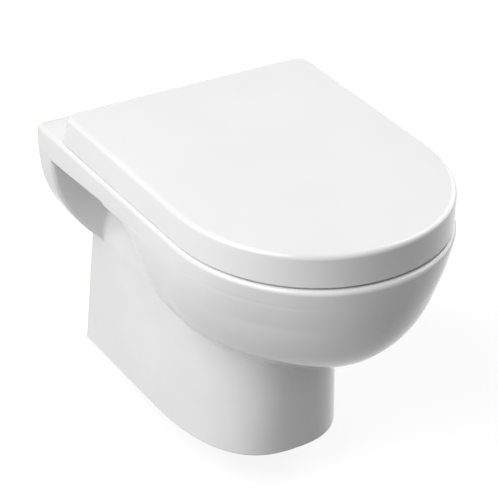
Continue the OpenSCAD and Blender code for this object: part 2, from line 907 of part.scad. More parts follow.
module stud_bushes() {
    color("gainsboro")
        at_seat_holes(
            rim_z - deck_thickness,
            rim_z - rest_clearance,
            seat_hole_r - rest_clearance,
            seat_stud_r + rest_clearance
        );
}

module stud_washers() {
    color("silver")
        at_seat_holes(
            nut_face_z,
            nut_face_z + stud_washer_t,
            stud_washer_r,
            seat_stud_r + rest_clearance
        );
}

module wing_nuts() {
    color("gainsboro")
        for (side = [-1, 1])
            translate([side * hole_x, hole_y, nut_face_z - wing_nut_t])
                difference() {
                    union() {
                        cylinder(h = wing_nut_t, r = wing_hub_r);
                        translate([-wing_span / 2 + wing_r, -wing_t / 2, 0])
                            cube([wing_span - 2 * wing_r, wing_t, web_height]);
                        for (end = [-1, 1])
                            translate([end * (wing_span / 2 - wing_r), wing_t / 2, wing_r])
                                rotate([90, 0, 0])
                                    cylinder(h = wing_t, r = wing_r);
                    }
                    translate([0, 0, -cut])
                        cylinder(h = wing_nut_t + 2 * cut, r = seat_stud_r + pin_clearance);
                }
}

module wall_sleeves() {
    color("gainsboro")
        for (side = [-1, 1])
            difference() {
                union() {
                    along_wall_axis(side * fixing_spacing / 2, 0, 0, washer_y, sleeve_r);
                    along_wall_axis(side * fixing_spacing / 2, 0, collar_y, washer_y, fixing_washer_r);
                }
                along_wall_axis(side * fixing_spacing / 2, 0, -cut, washer_y + cut, sleeve_bore_r);
            }
}

module wall_washers() {
    color("silver")
        for (side = [-1, 1])
            difference() {
                along_wall_axis(side * fixing_spacing / 2, 0, washer_y, nut_y, fixing_washer_r);
                along_wall_axis(side * fixing_spacing / 2, 0, washer_y - cut, nut_y + cut, sleeve_bore_r);
            }
}

module wall_nuts() {
    color("silver")
        for (side = [-1, 1])
            translate([side * fixing_spacing / 2, -nut_y, 0])
                rotate([90, 0, 0])
                    difference() {
                        cylinder(h = fixing_nut_t, r = fixing_nut_flats / 2 / cos(30), $fn = 6);
                        translate([0, 0, -cut])
                            cylinder(h = fixing_nut_t + 2 * cut, r = fixing_nut_bore_r);
                    }
}

module flush_inlet_seal() {
    color("dimgray")
        difference() {
            along_wall_axis(0, inlet_z, outlet_setback, seal_length, inlet_bore_r - rest_clearance);
            along_wall_axis(0, inlet_z, 0, seal_length + cut, seal_bore_r);
        }
}

pan();
cover();
seat_ring();
cover_buffers();
seat_buffers();
hinge_post_left();
hinge_post_right();
hinge_pin_left();
hinge_pin_right();
base_discs();
disc_gaskets();
seat_studs();
stud_bushes();
stud_washers();
wing_nuts();
seat_damper();
cover_damper();
seat_hinge_bush();
cover_hinge_bush();
wall_sleeves();
wall_washers();
wall_nuts();
flush_inlet_seal();
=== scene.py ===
import math

import bmesh
import bpy
import numpy as np
from mathutils import Matrix, Vector


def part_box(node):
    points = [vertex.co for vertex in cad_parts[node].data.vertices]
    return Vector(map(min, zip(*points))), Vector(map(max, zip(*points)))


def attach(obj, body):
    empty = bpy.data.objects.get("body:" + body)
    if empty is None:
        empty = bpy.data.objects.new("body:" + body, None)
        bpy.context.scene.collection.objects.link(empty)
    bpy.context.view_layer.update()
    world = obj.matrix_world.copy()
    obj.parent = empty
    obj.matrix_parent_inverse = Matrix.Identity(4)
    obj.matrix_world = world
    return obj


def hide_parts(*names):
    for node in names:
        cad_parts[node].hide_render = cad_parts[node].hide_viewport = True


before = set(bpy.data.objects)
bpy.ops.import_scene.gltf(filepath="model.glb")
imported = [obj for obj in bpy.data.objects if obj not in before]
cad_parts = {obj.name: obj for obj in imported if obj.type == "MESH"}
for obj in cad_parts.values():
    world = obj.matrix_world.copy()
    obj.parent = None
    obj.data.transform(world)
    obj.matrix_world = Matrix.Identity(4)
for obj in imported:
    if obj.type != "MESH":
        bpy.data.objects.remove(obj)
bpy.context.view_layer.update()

bl_info = {
    "name": "Wall Hung Toilet Pan",
    "version": (1, 0, 0),
    "blender": (4, 5, 0),
    "location": "3D View > Sidebar > Toilet",
    "description": "Builds the glazed pan, seat, cover and fittings around the packed model",
    "category": "Object",
}

MM = 0.001
PAN_LOW, PAN_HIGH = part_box("pan")
COVER_LOW, COVER_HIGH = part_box("cover")
RING_LOW, RING_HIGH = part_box("seat_ring")

# The sizes are in millimetres, as in the part's own source. Depths count down from the rim, and
# y is 0 at the wall and negative in front of it. A power is that of the superellipse or the
# easing that a curve follows.

# Rim and deck. The band is the deck's outer edge, which is thicker towards the wall.
RIM_Z = PAN_HIGH.z / MM
RIM_EDGE = 6.0
RIM_FLAT = 4.0
DECK = 28.0
DECK_ROOT = 6.0
UNDER_DECK = DECK + 0.1
BAND_EXTRA = 12.5
BAND_START = 30.0
BAND_RUN = 210.0
BAND_POWER = 1.25
BAND_EDGE = 6.0
BAND_FLAT = 12.0
BAND_SLOPE = 9.0
BAND_END = 60.0
# Shares of the way to the casing that the band's edge and its flat underside take at most, and
# what its slope adds to that.
EDGE_MOST = 0.25
FLAT_MOST = 0.4
SLOPE_MOST = 0.15

# Outside of the bowl.
BOWL_DEPTH = 188.0
SIDE_POWER = 2.46
NOSE_POWER = 2.33
SIDE_LENGTH = 341.0
NOSE_RAKE = 0.255
SEAT_POWER = 2.05
NOSE_LOSS = 0.2
NOSE_LOSS_DEPTH = 60.0
FORM_BLEND = 8.0
# How deep the bowl reaches, by y; then how its sides turn under there, and between which
# distances from the wall their straight part fades out.
KEEL = ((-115, 1), (-145, 20), (-160, 31), (-175, 43), (-190, 55), (-205, 66), (-220, 85),
        (-240, 137), (-258, 176), (-275, 188))
KEEL_EASE = 9.0
KEEL_TURN = 6.0
KEEL_STRAIGHT = 24.0
KEEL_FADE = (150.0, 293.0)

# Wall flange, trap casing and shroud.
FLANGE = 20.0
FLANGE_FACE = 30.0
FLANGE_EDGE = 6.5
FLANGE_LEAN = 0.2
FLANGE_FULL = 20.0
FLANGE_POWER = 2.2
FLANGE_MEETS = 75.0
BOLT_POCKET = 21.0
POCKET_FLARE = 3.0
POCKET_EDGE = 2.5
CASING_HALF = 50.0
CASING_SLOPE = 0.35
CASING_EASE = 15.0
CASING_BLEND = 16.0
CASING_FILLET = 8.0
SHROUD_TOP = 176.0
SHROUD_TOP_HALF = 98.0
SHROUD_FOOT_HALF = 109.0
SHROUD_REACH = 354.0
SHROUD_RAKE = 4.0
SHROUD_STRAIGHT = 170.0
SHROUD_POWER = 2.6
FOOT_EDGE = 3.5
FOOT_FLAT = 3.0
# Where the bowl can come out of the casing, and how that line returns under the bowl.
MEETS_FIRST = -120.0
MEETS_LAST = -300.0
MEETS_RETURN = 50.0
MEETS_FADE = 60.0
# A rounding takes at most this share of the step that it softens.
EDGE_SHARE = 0.4
# Rows of the mesh down the flange's side by y, and across its face by share.
SIDE_ROWS = (0, -8, -16)
FACE_ROWS = (0.05, 0.2, 0.4, 0.6, 0.8, 0.95)
# Columns of the mesh: the shortest run up to the nose, and how they crowd at the meeting.
RUN_LEAST = 12.0
CROWD_BEFORE = 2.2
CROWD_AFTER = 0.6

# Inside of the bowl, hollow, trap and channels. PAST is how far a cutter runs out of the pan.
PAST = 1.0
CERAMIC = 10.0
SKIN = 0.85 * CERAMIC
HOLLOW_DEPTH = 26.0
HOLLOW_LEAST = 0.2
OPENING_HALF = 120.0
OPENING_BACK = 172.0
OPENING_FRONT = 476.0
OPENING_EDGE = 5.0
OPENING_ROWS = (12.0, 20.0, 28.0)
RIM_LIP = 38.0
LIP_EDGE = 4.0
LIP_UNDER = 0.4
UNDERCUT = 12.0
UNDERCUT_TOP = RIM_LIP + 1
UNDERCUT_EASE = 3.6
UNDERCUT_EASE_SHARE = 1 / 12
BOWL_FLOOR = 176.0
BOWL_ROUND = 0.55
SUMP_R = 33.0
SUMP_BACK = 262.0
TRAP_BORE = 26.0
TRAP_WALL = 8.0
TRAP_FLARE = 6.0
TRAP_FLARE_DEPTH = 14.0
LOW_BEND = 42.0
WEIR_BEND = 40.0
BEND_STEP = 7.5
TRAP_DROP = 42.0
TRAP_RISE = 60.0
OUTLET_Z = -100.0
OUTLET_R = 51.0
OUTLET_WALL = 7.0
OUTLET_LENGTH = 45.0
OUTLET_EASE = 1.0
SETBACK = 2.0
INLET_Z = 35.0
INLET_R = 29.5
INLET_LENGTH = 60.0
CHANNEL_R = 16.0

# Holes for the fixings: bolts through the flange, and the seat's studs through the deck.
BOLT_X = 90.0
BOLT_HOLE = 12.0
HOLE_X = 77.5
HOLE_Y = -76.0
SEAT_HOLE = 8.0
HOLE_EASE = 1.2

# Hinges. The long barrels hold a damper and the short ones a bush.
AXIS_Y = -64.0
AXIS_Z = 106.5
AXIS = (0, AXIS_Y, AXIS_Z)
BARREL = 10.5
BARREL_EDGE = 0.8
BARREL_END = 4.0
BORE_EDGE = 0.1
LONG_BARREL = 40.0
SHORT_BARREL = 16.0
DAMPER_HOLE = 7.0
BUSH_HOLE = 6.0
WEB_END = 0.05
SIDE_GAP = 0.6
POST_HALF = 13.0
POST_R = 7.0
POST_TOP = AXIS_Z - 1
POST_HOLE = 12.0
HEAD_R = 7.5
PIN_R = 4.0
PIN_HOLE = 4.03
PIN_IN_LONG = 31.4
PIN_IN_SHORT = 11.4
GASKET = 1.5
GASKET_R = 12.0
DISC_TOP = 4.5
DISC_R = 13.0

# Cover and seat ring.
COVER_GAP = 2.5
COVER_WALL = 5.0
COVER_BACK = 53.0
COVER_LEAN = 15.0
COVER_CORNER = 18.0
CORNER_LEAST = 2.5
COVER_FOOT = 1.5
COVER_LIP = 1.2
COVER_FILLET = 5.0
COVER_FLAT = 6.0
COVER_WEB = -68.0
NOTCH_GAP = 0.3
NOTCH_ROOF = 0.2
RING_Z = 84.0
RING_TOP = 101.0
RING_REACH = 513.0
RING_BACK = 93.0
RING_EDGE = 5.0
RING_CORNER = 30.0
RING_FLAT = 3.0
RING_FOOT = 1.5
RING_FOOT_FLAT = 4.5
RING_LIP = 2.5
RING_LIP_FLAT = 5.5
RING_ROWS = (93.0, 90.0)
RING_OPENING_HALF = 106.0
RING_OPENING_BACK = 184.0
RING_OPENING_FRONT = 458.0
# Section of the ring's slope into its opening, as (distance from the opening, height).
RING_SLOPE = ((0, 91), (0.3, 93), (1.2, 95), (3, 97), (6, 98.6), (10, 99.6), (16, 100.3),
              (24, 100.8), (32, 101))
ARM_ROOT = 10.0
ARM_RISE = 5.0
ARM_DROP = 1.25
ARM_HALF = 8.4
# Each pad's section, as (share of its radius, height over its foot); the front ones stand at a
# share of the opening's half width.
PAD_R = 8.0
PAD_FOOT = ((0.05, 0.8), (0.45, 0.8), (0.6, 0), (1, 0))
PAD_EDGE = 1.0
PAD_Y = -230.0
PAD_FRONT = 24.0
PAD_FRONT_X = 0.7
REST_GAP = 0.3

# Seat fixing: studs through the deck, with a washer and a wing nut under it.
STUD_R = 4.0
STUD_END_R = 3.4
STUD_HOLE = 4.3
STUD_BORE = 4.05
STUD_UNDER = 30.0
STUD_OVER = 14.5
THREAD_PITCH = 1.25
THREAD_DEPTH = 0.65
THREAD_STEP = 0.2
BUSH_R = 7.7
WASHER = 2.5
WASHER_R = 14.0
HUB = 12.0
HUB_R = 8.0
WING_X = 6.0
EAR_X = 13.6
EAR_R = 5.4
EAR_HALF = 1.8

# Wall fixing and the inlet's seal.
SLEEVE_BORE = 6.5
SLEEVE_R = 10.0
SLEEVE_COLLAR = 3.0
COLLAR_GAP = 0.2
WALL_WASHER_R = 17.0
NUT = 10.0
NUT_BORE = 6.05
NUT_FLAT = 9.5
# The nut's bore is eased by this much, and its corners rise at this slope from their ends.
NUT_EASE = 0.55
NUT_CHAMFER = 1.7
SEAL_BORE = 22.55
SEAL_R = 29.2
SEAL_LENGTH = 40.0
SEAL_GROOVES = (11.5, 21.5, 31.5)
GROOVE_HALF = 1.5
GROOVE_DEPTH = 0.8

# Edges that turn by more than these degrees stay sharp.
SHARP = 35.0
PAN_SHARP = 58.0
NUT_SHARP = 25.0

# Noise keeps mostly between these values, so colour ramps run from one to the other.
NOISE_RANGE = (0.35, 0.65)

# Stage, in metres and degrees. The camera was found from the pan's own outline.
CAMERA_LENS = 161.04
CAMERA_AZIMUTH = -32.39
CAMERA_ELEVATION = 30.82
CAMERA_ROLL = 1.68
CAMERA_FROM_RIM = Vector((-1.26444, -2.21868, 1.29388))
FLOOR_DROP = 0.4
FLOOR_SIZE = 8.0
FLOOR_GLOW = 0.8
LAMPS = (("key", -85, 42, 205.0), ("back", 100, 30, 132.0))
LAMP_SIZE = 4.5
LAMP_DISTANCE = 4.0
LAMP_AIM = Vector((0, -0.26, 0))
STUDIO_LIGHT = 0.03


class PanSizes(bpy.types.PropertyGroup):
    """Sizes of the glazed pan."""

    width: bpy.props.FloatProperty(
        name="Rim width", description="Overall width of the pan at the rim",
        default=PAN_HIGH.x - PAN_LOW.x, unit="LENGTH")
    projection: bpy.props.FloatProperty(
        name="Projection", description="Distance from the wall to the front of the rim",
        default=-PAN_LOW.y, unit="LENGTH")
    height: bpy.props.FloatProperty(
        name="Height", description="Height of the ceramic from its foot to the rim",
        default=PAN_HIGH.z - PAN_LOW.z, unit="LENGTH")


class SeatSizes(bpy.types.PropertyGroup):
    """Sizes of the cover and the seat ring."""

    cover_width: bpy.props.FloatProperty(
        name="Cover width", description="Width of the closed cover",
        default=COVER_HIGH.x - COVER_LOW.x, unit="LENGTH")
    cover_reach: bpy.props.FloatProperty(
        name="Cover reach", description="Distance from the wall to the front of the cover",
        default=-COVER_LOW.y, unit="LENGTH")
    cover_edge: bpy.props.FloatProperty(
        name="Cover edge radius", description="Radius on the cover's upper edge",
        default=6.0 * MM, unit="LENGTH")
    ring_width: bpy.props.FloatProperty(
        name="Ring width", description="Width of the seat ring",
        default=RING_HIGH.x - RING_LOW.x, unit="LENGTH")


class FinishColours(bpy.types.PropertyGroup):
    """Colours of the finishes, as sRGB hex values."""

    glaze: bpy.props.StringProperty(
        name="Glaze", description="White of the fired glaze", default="#EDEDED")
    seat: bpy.props.StringProperty(
        name="Seat", description="White of the moulded seat and cover", default="#F0F0F0")
    floor: bpy.props.StringProperty(
        name="Floor", description="Grey of the floor that the lamps see, under its white glow",
        default="#8A8A8A")


# ---- mesh helpers


def rounding(r, count):
    """Points of a quarter circle, as pairs of a growing offset from 0 to r and one from r to 0."""
    return [(r * (1 - math.cos(a)), r * (1 - math.sin(a)))
            for a in np.linspace(0, math.pi / 2, count)]


def loft(rings, looped=False):
    """Mesh data through rings of equal length, closed by flat caps unless looped."""
    count = len(rings[0])
    points = np.concatenate(rings)
    faces = []
    for j in range(len(rings) if looped else len(rings) - 1):
        a, b = j * count, (j + 1) % len(rings) * count
        for i in range(count):
            k = (i + 1) % count
            faces.append((a + i, a + k, b + k, b + i))
    if not looped:
        last = (len(rings) - 1) * count
        faces.append(tuple(range(count - 1, -1, -1)))
        faces.append(tuple(last + i for i in range(count)))
    return points, faces


def add_object(name, edit, mesh=None):
    """Object whose mesh is a bmesh, which is freed."""
    mesh = mesh or bpy.data.meshes.new(name)
    edit.to_mesh(mesh)
    edit.free()
    piece = bpy.data.objects.new(name, mesh)
    bpy.context.scene.collection.objects.link(piece)
    return piece


def make_object(name, points, faces):
    """Object with a closed mesh whose faces look outwards; points are in millimetres."""
    mesh = bpy.data.meshes.new(name)
    mesh.from_pydata((np.asarray(points) * MM).tolist(), [], faces)
    edit = bmesh.new()
    edit.from_mesh(mesh)
    bmesh.ops.remove_doubles(edit, verts=edit.verts, dist=1e-7)
    bmesh.ops.dissolve_degenerate(edit, edges=edit.edges, dist=1e-7)
    bmesh.ops.recalc_face_normals(edit, faces=edit.faces)
    return add_object(name, edit, mesh)


def combine(piece, others, operation="DIFFERENCE"):
    """Cuts the others from the piece, or joins them to it, and removes them."""
    for other in others:
        step = piece.modifiers.new("step", "BOOLEAN")
        step.operation = operation
        step.solver = "MANIFOLD"
        step.object = other
    settled = piece.evaluated_get(bpy.context.evaluated_depsgraph_get())
    mesh = bpy.data.meshes.new_from_object(settled)
    piece.modifiers.clear()
    piece.data = mesh
    for other in others:
        bpy.data.objects.remove(other)
    return piece


def smooth(piece, angle=SHARP):
    """Smooth shading that keeps the edges sharper than the angle, weighted by face area."""
    edit = bmesh.new()
    edit.from_mesh(piece.data)
    bmesh.ops.dissolve_degenerate(edit, edges=edit.edges, dist=1e-6)
    for face in edit.faces:
        face.smooth = True
    for edge in edit.edges:
        edge.smooth = edge.calc_face_angle(math.pi) < math.radians(angle)
    edit.to_mesh(piece.data)
    edit.free()
    weigh = piece.modifiers.new("weigh", "WEIGHTED_NORMAL")
    weigh.keep_sharp = True
    return piece


def soften(profile, cut, looped=False, steps=4):
    """The profile with each corner replaced by a short curve that starts cut before it."""
    count = len(profile)
    rounded = []
    for i, corner in enumerate(profile):
        if not looped and i in (0, count - 1):
            rounded.append(corner)
            continue
        corner = np.array(corner, float)
        before = np.array(profile[i - 1], float) - corner
        after = np.array(profile[(i + 1) % count], float) - corner
        near = min(cut, np.linalg.norm(before) * 0.45, np.linalg.norm(after) * 0.45)
        start = corner + before / np.linalg.norm(before) * near
        end = corner + after / np.linalg.norm(after) * near
        for t in np.linspace(0, 1, steps + 1):
            rounded.append(tuple((1 - t) ** 2 * start + 2 * t * (1 - t) * corner + t * t * end))
    return rounded


AXES = {
    "X": lambda u, v, h: (h, u, v),
    "Y": lambda u, v, h: (v, h, u),
    "Z": lambda u, v, h: (u, v, h),
}


def turned(profile, at, axis="Z", looped=False, sides=64, radius=None):
    """Mesh data of a profile of (radius, height) points turned about an axis through at.

    radius, if given, works out each point's radius from its angle, height and radius."""
    angles = np.linspace(0, 2 * math.pi, sides, endpoint=False)
    rings = []
    for r, h in profile:
        reach = np.full(sides, float(r)) if radius is None else radius(angles, h, r)
        u, v = reach * np.cos(angles), reach * np.sin(angles)
        rings.append(np.array(AXES[axis](u, v, np.full(sides, float(h)))).T + np.array(at))
    return loft(rings, looped)


def rod(name, at, axis, start, end, r, edge=0.4, sides=64):
    """Round bar with eased ends."""
    profile = soften([(r * 0.5, start), (r, start), (r, end), (r * 0.5, end)], edge)
    return make_object(name, *turned(profile, at, axis, sides=sides))


def collar(name, at, axis, start, end, outer, inner, edge=0.3):
    """Ring with eased edges."""
    profile = soften([(inner, start), (outer, start), (outer, end), (inner, end)], edge, True)
    return make_object(name, *turned(profile, at, axis, looped=True))


def along_wall(name, z, start, end, r):
    """Bar at height z that leaves the wall, from start to end in front of it."""
    return make_object(name, *turned([(r, -start), (r, -end)], (0, 0, z), "Y"))


def flared(name, at, axis, start, end, r, ease=1.5):
    """Cutter for a hole whose two mouths are eased."""
    mouth = ((2, -1), (1, 0), (0.3, 0.3), (0, 1))
    profile = [(r + out * ease, start + down * ease) for out, down in mouth]
    profile += [(r + out * ease, end - down * ease) for out, down in reversed(mouth)]
    return make_object(name, *turned(profile, at, axis))


def block(name, low, high, edge=0.0):
    """Box between two corners, with its edges rounded."""
    edit = bmesh.new()
    bmesh.ops.create_cube(edit, size=1.0)
    low, high = Vector(low), Vector(high)
    for vert in edit.verts:
        vert.co = Vector([low[i] + (high[i] - low[i]) * (vert.co[i] + 0.5) for i in range(3)])
    if edge > 0:
        bmesh.ops.bevel(edit, geom=edit.edges[:], offset=edge, segments=3, profile=0.5,
                        affect="EDGES")
    piece = add_object(name, edit)
    piece.data.transform(Matrix.Scale(MM, 4))
    return piece


def prism(name, outline, start, end):
    """Outline of (y, z) points run along X."""
    edit = bmesh.new()
    face = edit.faces.new([edit.verts.new((start, y, z)) for y, z in outline])
    grown = bmesh.ops.extrude_face_region(edit, geom=[face])
    moved = [g for g in grown["geom"] if isinstance(g, bmesh.types.BMVert)]
    bmesh.ops.translate(edit, verts=moved, vec=(end - start, 0, 0))
    bmesh.ops.recalc_face_normals(edit, faces=edit.faces)
    piece = add_object(name, edit)
    piece.data.transform(Matrix.Scale(MM, 4))
    return piece


def merge(name, pieces):
    """Joins loose solids of one kind into one object."""
    edit = bmesh.new()
    for piece in pieces:
        edit.from_mesh(piece.data)
        bpy.data.objects.remove(piece)
    return add_object(name, edit)


def place(piece, body, slot, key, *nodes):
    """Gives a finished piece its material and body, and hides the CAD nodes it stands for."""
    piece.data.materials.clear()
    piece.data.materials.append(material_of(key))
    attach(piece, body)
    if nodes:
        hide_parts(*nodes)


def place_set(name, pieces, slot, key, node, body="pan", angle=SHARP):
    """Joins like pieces into one and places it."""
    place(smooth(merge(name, pieces), angle), body, slot, key, node)


# ---- the pan's form, by depth d below the rim and by y, in front of the wall


def lame(t, p):
    """Quarter of a superellipse, from 1 at t = 0 down to 0 at t = 1."""
    return (1 - np.clip(t, 0, 1) ** p) ** (1 / p)


def soft_max(a, b, width):
    """Larger of two values, eased into each other."""
    near = np.maximum(width - np.abs(a - b), 0) / width
    return np.maximum(a, b) + near * near * width / 4


def towards(rows, target, reach, most, share=1.0):
    """Rows moved towards a target by a share of the reach, which is at most a part of the way."""
    away = target - rows
    gap = np.maximum(np.linalg.norm(away, axis=1), 1e-6)[:, None]
    return rows + away / gap * (np.minimum(reach, most * gap) * share)


class PanForm:
    """Outlines of the pan's outside, bowl, hollow and trap, worked out from its main sizes.

    The methods whose names end in x give the half width of a form at y and depth d."""

    def __init__(self, sizes):
        self.half = sizes.width / MM / 2
        self.projection = sizes.projection / MM
        self.height = sizes.height / MM

    def nose_centre(self, d):
        return -SIDE_LENGTH + NOSE_RAKE * d

    def bowl_half(self, d):
        return self.half * lame(d / BOWL_DEPTH, SIDE_POWER)

    def bowl_nose(self, d):
        return (self.projection + self.nose_centre(d)) * lame(d / BOWL_DEPTH, NOSE_POWER)

    def shroud_half(self, d):
        """Half width of the shroud, or of the trap casing above it."""
        rise = np.maximum(SHROUD_TOP - d, 0)
        casing = SHROUD_TOP_HALF - CASING_SLOPE * rise ** 2 / (rise + CASING_EASE)
        skirt = (SHROUD_FOOT_HALF - SHROUD_TOP_HALF) * (d - SHROUD_TOP) / (self.height - SHROUD_TOP)
        return np.where(d < SHROUD_TOP, soft_max(CASING_HALF, casing, CASING_BLEND),
                        SHROUD_TOP_HALF + skirt)

    def shroud_front(self, d):
        down = (d - SHROUD_TOP) / (self.height - SHROUD_TOP)
        return SHROUD_REACH - SHROUD_RAKE * np.maximum(down, 0)

    def flange_half(self, d):
        t = np.clip((d - FLANGE_FULL) / (SHROUD_TOP - FLANGE_FULL), 0, 1)
        half = SHROUD_TOP_HALF + (self.half - SHROUD_TOP_HALF) * (1 - t ** FLANGE_POWER)
        return np.where(d < FLANGE_MEETS, np.minimum(half, self.bowl_half(d)), half)

    def front(self, d):
        return np.maximum(self.bowl_nose(d) - self.nose_centre(d), self.shroud_front(d))

    def deck_x(self, y, d):
        reach = (self.nose_centre(d) - y) / np.maximum(self.bowl_nose(d), 1e-6)
        power = SEAT_POWER - NOSE_LOSS * np.minimum(d / NOSE_LOSS_DEPTH, 1)
        return self.bowl_half(d) * lame(reach, power)

    def keel(self, y):
        """Depth that the bowl reaches at y, and how much of it is rounded."""
        spots, depths = np.array(KEEL).T
        deep = np.mean([np.interp(ease - y, -spots, depths)
                        for ease in np.linspace(-KEEL_EASE, KEEL_EASE, 7)], axis=0)
        first, last = KEEL_FADE
        straight = KEEL_STRAIGHT * (1 - np.clip((-y - first) / (last - first), 0, 1) ** 2)
        return deep, np.maximum(deep - straight, np.minimum(deep, KEEL_TURN))

    def bowl_x(self, y, d):
        deep, turn = self.keel(y)
        back = self.half * lame((d - deep + turn) / turn, SIDE_POWER)
        return np.where(y < self.nose_centre(d), self.deck_x(y, d), back)

    def shroud_x(self, y, d):
        span = self.shroud_front(d) - SHROUD_STRAIGHT
        return self.shroud_half(d) * lame((-SHROUD_STRAIGHT - y) / span, SHROUD_POWER)

    def skin_x(self, y, d):
        """Half width of the skin that the bowl's inside needs behind the side walls."""
        centre, half, _, back = self.bowl_extent(d - SKIN, SKIN, UNDERCUT)
        x = half * np.sqrt(1 - np.clip((y - centre) / back, 0, 1) ** 2)
        return np.where((d > BOWL_FLOOR + SKIN) | (y < centre), 0, x)

    def body_x(self, y, d):
        return soft_max(self.shroud_x(y, d), self.skin_x(y, d), CASING_BLEND)

    def under_x(self, y, d):
        joined = soft_max(self.body_x(y, d), self.bowl_x(y, d), FORM_BLEND)
        return np.where(y <= -self.front(d), 0, joined)

    def meeting(self, d):
        """y at which the bowl comes out of the casing or the shroud."""
        if d >= BOWL_DEPTH:
            return MEETS_LAST + MEETS_RETURN * min((d - BOWL_DEPTH) / MEETS_FADE, 1)
        y = np.linspace(MEETS_FIRST, MEETS_LAST, 500)
        over = self.bowl_x(y, d) - self.body_x(y, d)
        k = int(np.argmax(over > 0))
        if k == 0:
            return MEETS_LAST
        return float(y[k] - (y[k] - y[k - 1]) * over[k] / (over[k] - over[k - 1]))

    def columns(self, d, start, front, counts=(20, 40, 48)):
        """Values of y at which an outline is drawn, denser where it turns."""
        meeting = self.meeting(d)
        nose = min(self.nose_centre(d), meeting - RUN_LEAST)
        a, b, c = (np.arange(1, n + 1) / n for n in counts)
        return np.concatenate([
            start + (meeting - start) * (1 - (1 - a) ** CROWD_BEFORE),
            meeting + (nose - meeting) * (1 - np.cos(b * math.pi / 2) ** CROWD_AFTER),
            nose - (front + nose) * np.sin(c * math.pi / 2),
        ])

    def extra(self, y):
        """How much thicker the band is than the deck, most near the wall."""
        return BAND_EXTRA * (1 - np.clip((-y - BAND_START) / BAND_RUN, 0, 1) ** BAND_POWER)

    def side(self, d, recessed=False, share=0.0, wall=None):
        """One side of the outside's outline, from the wall to the nose, and its depths.

        share is how much of the band's extra thickness is added to the depth, and wall is that
        share at the flange, where the depth never turns back."""
        if wall is None:
            wall = min(max((BAND_END - d) / (BAND_END - DECK), 0), 1) if recessed else share
        deep = d + wall * BAND_EXTRA
        if recessed:
            wall_x, case_x = float(self.flange_half(deep)), float(self.shroud_half(deep))
        else:
            at_wall = np.array(0.0)
            wall_x = float(self.deck_x(at_wall, deep) if d <= DECK else self.under_x(at_wall, d))
            case_x = wall_x
        edge = min(FLANGE_EDGE, EDGE_SHARE * (wall_x - case_x))
        fillet = min(CASING_FILLET, EDGE_SHARE * (wall_x - case_x))
        low, high = case_x + fillet, wall_x - edge
        turn, root = rounding(1, 8), -FLANGE_FACE - FLANGE_LEAN
        rows = [(wall_x, y) for y in SIDE_ROWS]
        rows += [(wall_x - edge * p, -FLANGE_FACE + FLANGE_EDGE * q) for p, q in turn]
        rows += [(high + (low - high) * f, -FLANGE_FACE - FLANGE_LEAN * f) for f in FACE_ROWS]
        rows += [(case_x + fillet * q, root - (CASING_FILLET - FLANGE_LEAN) * p) for p, q in turn]
        y = self.columns(d, -FLANGE_FACE - CASING_FILLET, float(self.front(d)))
        along = d + share * self.extra(y)
        on_deck = d <= DECK and not recessed
        x = self.deck_x(y, along) if on_deck else self.under_x(y, along)
        x[-1] = 0
        depths = np.concatenate([np.full(len(rows), deep), along])
        return np.concatenate([np.array(rows), np.stack([x, y], 1)]), depths

    def whole(self, half, z, inset=0.0):
        """Closed ring of both sides at height z, drawn in by inset along its own normal."""
        if inset:
            ahead = np.vstack([half[1:], half[-2] * [-1, 1]])
            behind = np.vstack([half[:1], half[:-1]])
            run = ahead - behind
            out = np.stack([-run[:, 1], run[:, 0]], 1)
            out /= np.maximum(np.linalg.norm(out, axis=1), 1e-9)[:, None]
            out[0] = (1, 0)
            half = half - out * inset
            half[-1, 0] = 0
        z = np.broadcast_to(z, len(half))
        return np.column_stack([
            np.concatenate([half, half[-2::-1] * [-1, 1]]),
            np.concatenate([z, z[-2::-1]]),
        ])

    def outside(self):
        """Rings of the outer skin from the deck down to the foot."""
        def ring(d, recessed=False, inset=0.0, share=0.0):
            half, depths = self.side(d, recessed, share)
            return self.whole(half, RIM_Z - depths, inset)

        rings = [ring(0, inset=RIM_EDGE + RIM_FLAT)]
        rings += [ring(down, inset=inset) for down, inset in rounding(RIM_EDGE, 9)]
        straight = DECK - BAND_EDGE - RIM_EDGE
        rings += [ring(RIM_EDGE + straight * f, share=f) for f in np.linspace(0, 1, 8)[1:-1]]
        rings += self.deck_underside()
        first = math.asin((DECK + DECK_ROOT) / BOWL_DEPTH)
        for a in np.linspace(first, math.pi / 2, 112)[1:]:
            d = BOWL_DEPTH * math.sin(a)
            rings.append(ring(d, d < SHROUD_TOP))
        rings += [ring(d) for d in np.linspace(BOWL_DEPTH, self.height - FOOT_EDGE, 10)[1:-1]]
        rings += [ring(self.height - up, inset=inset) for inset, up in rounding(FOOT_EDGE, 9)]
        rings.append(ring(self.height, inset=FOOT_EDGE + FOOT_FLAT))
        return rings

    def deck_underside(self):
        """Rings round the band's lower edge, under it and down into the casing's root."""
        marks = [(DECK - up, 1.0, inward, EDGE_MOST) for inward, up in rounding(BAND_EDGE, 8)]
        marks += [(DECK, 1 - t * t * (3 - 2 * t), BAND_FLAT + BAND_SLOPE * t,
                   FLAT_MOST + SLOPE_MOST * t) for t in np.linspace(0, 1, 7)]
        under, _ = self.side(UNDER_DECK, True)
        rings = []
        for d, share, inward, most in marks:
            band, depths = self.side(d, share=share, wall=1.0)
            rings.append(self.whole(towards(band, under, inward, most), RIM_Z - depths))
        band, _ = self.side(DECK, wall=1.0)
        for down, share in rounding(1, 8):
            under, depths = self.side(UNDER_DECK + (DECK + DECK_ROOT - UNDER_DECK) * down, True)
            rounded = towards(under, band, DECK_ROOT, EDGE_MOST, share)
            rings.append(self.whole(rounded, RIM_Z - depths))
        return rings

    def hollow(self):
        """Rings of the space between the pan's skins."""
        around = (-SKIN, 0, SKIN)

        def inner_x(y, d):
            return np.min([self.under_x(y + dy, d + dd) for dy in around for dd in around],
                          axis=0) - SKIN

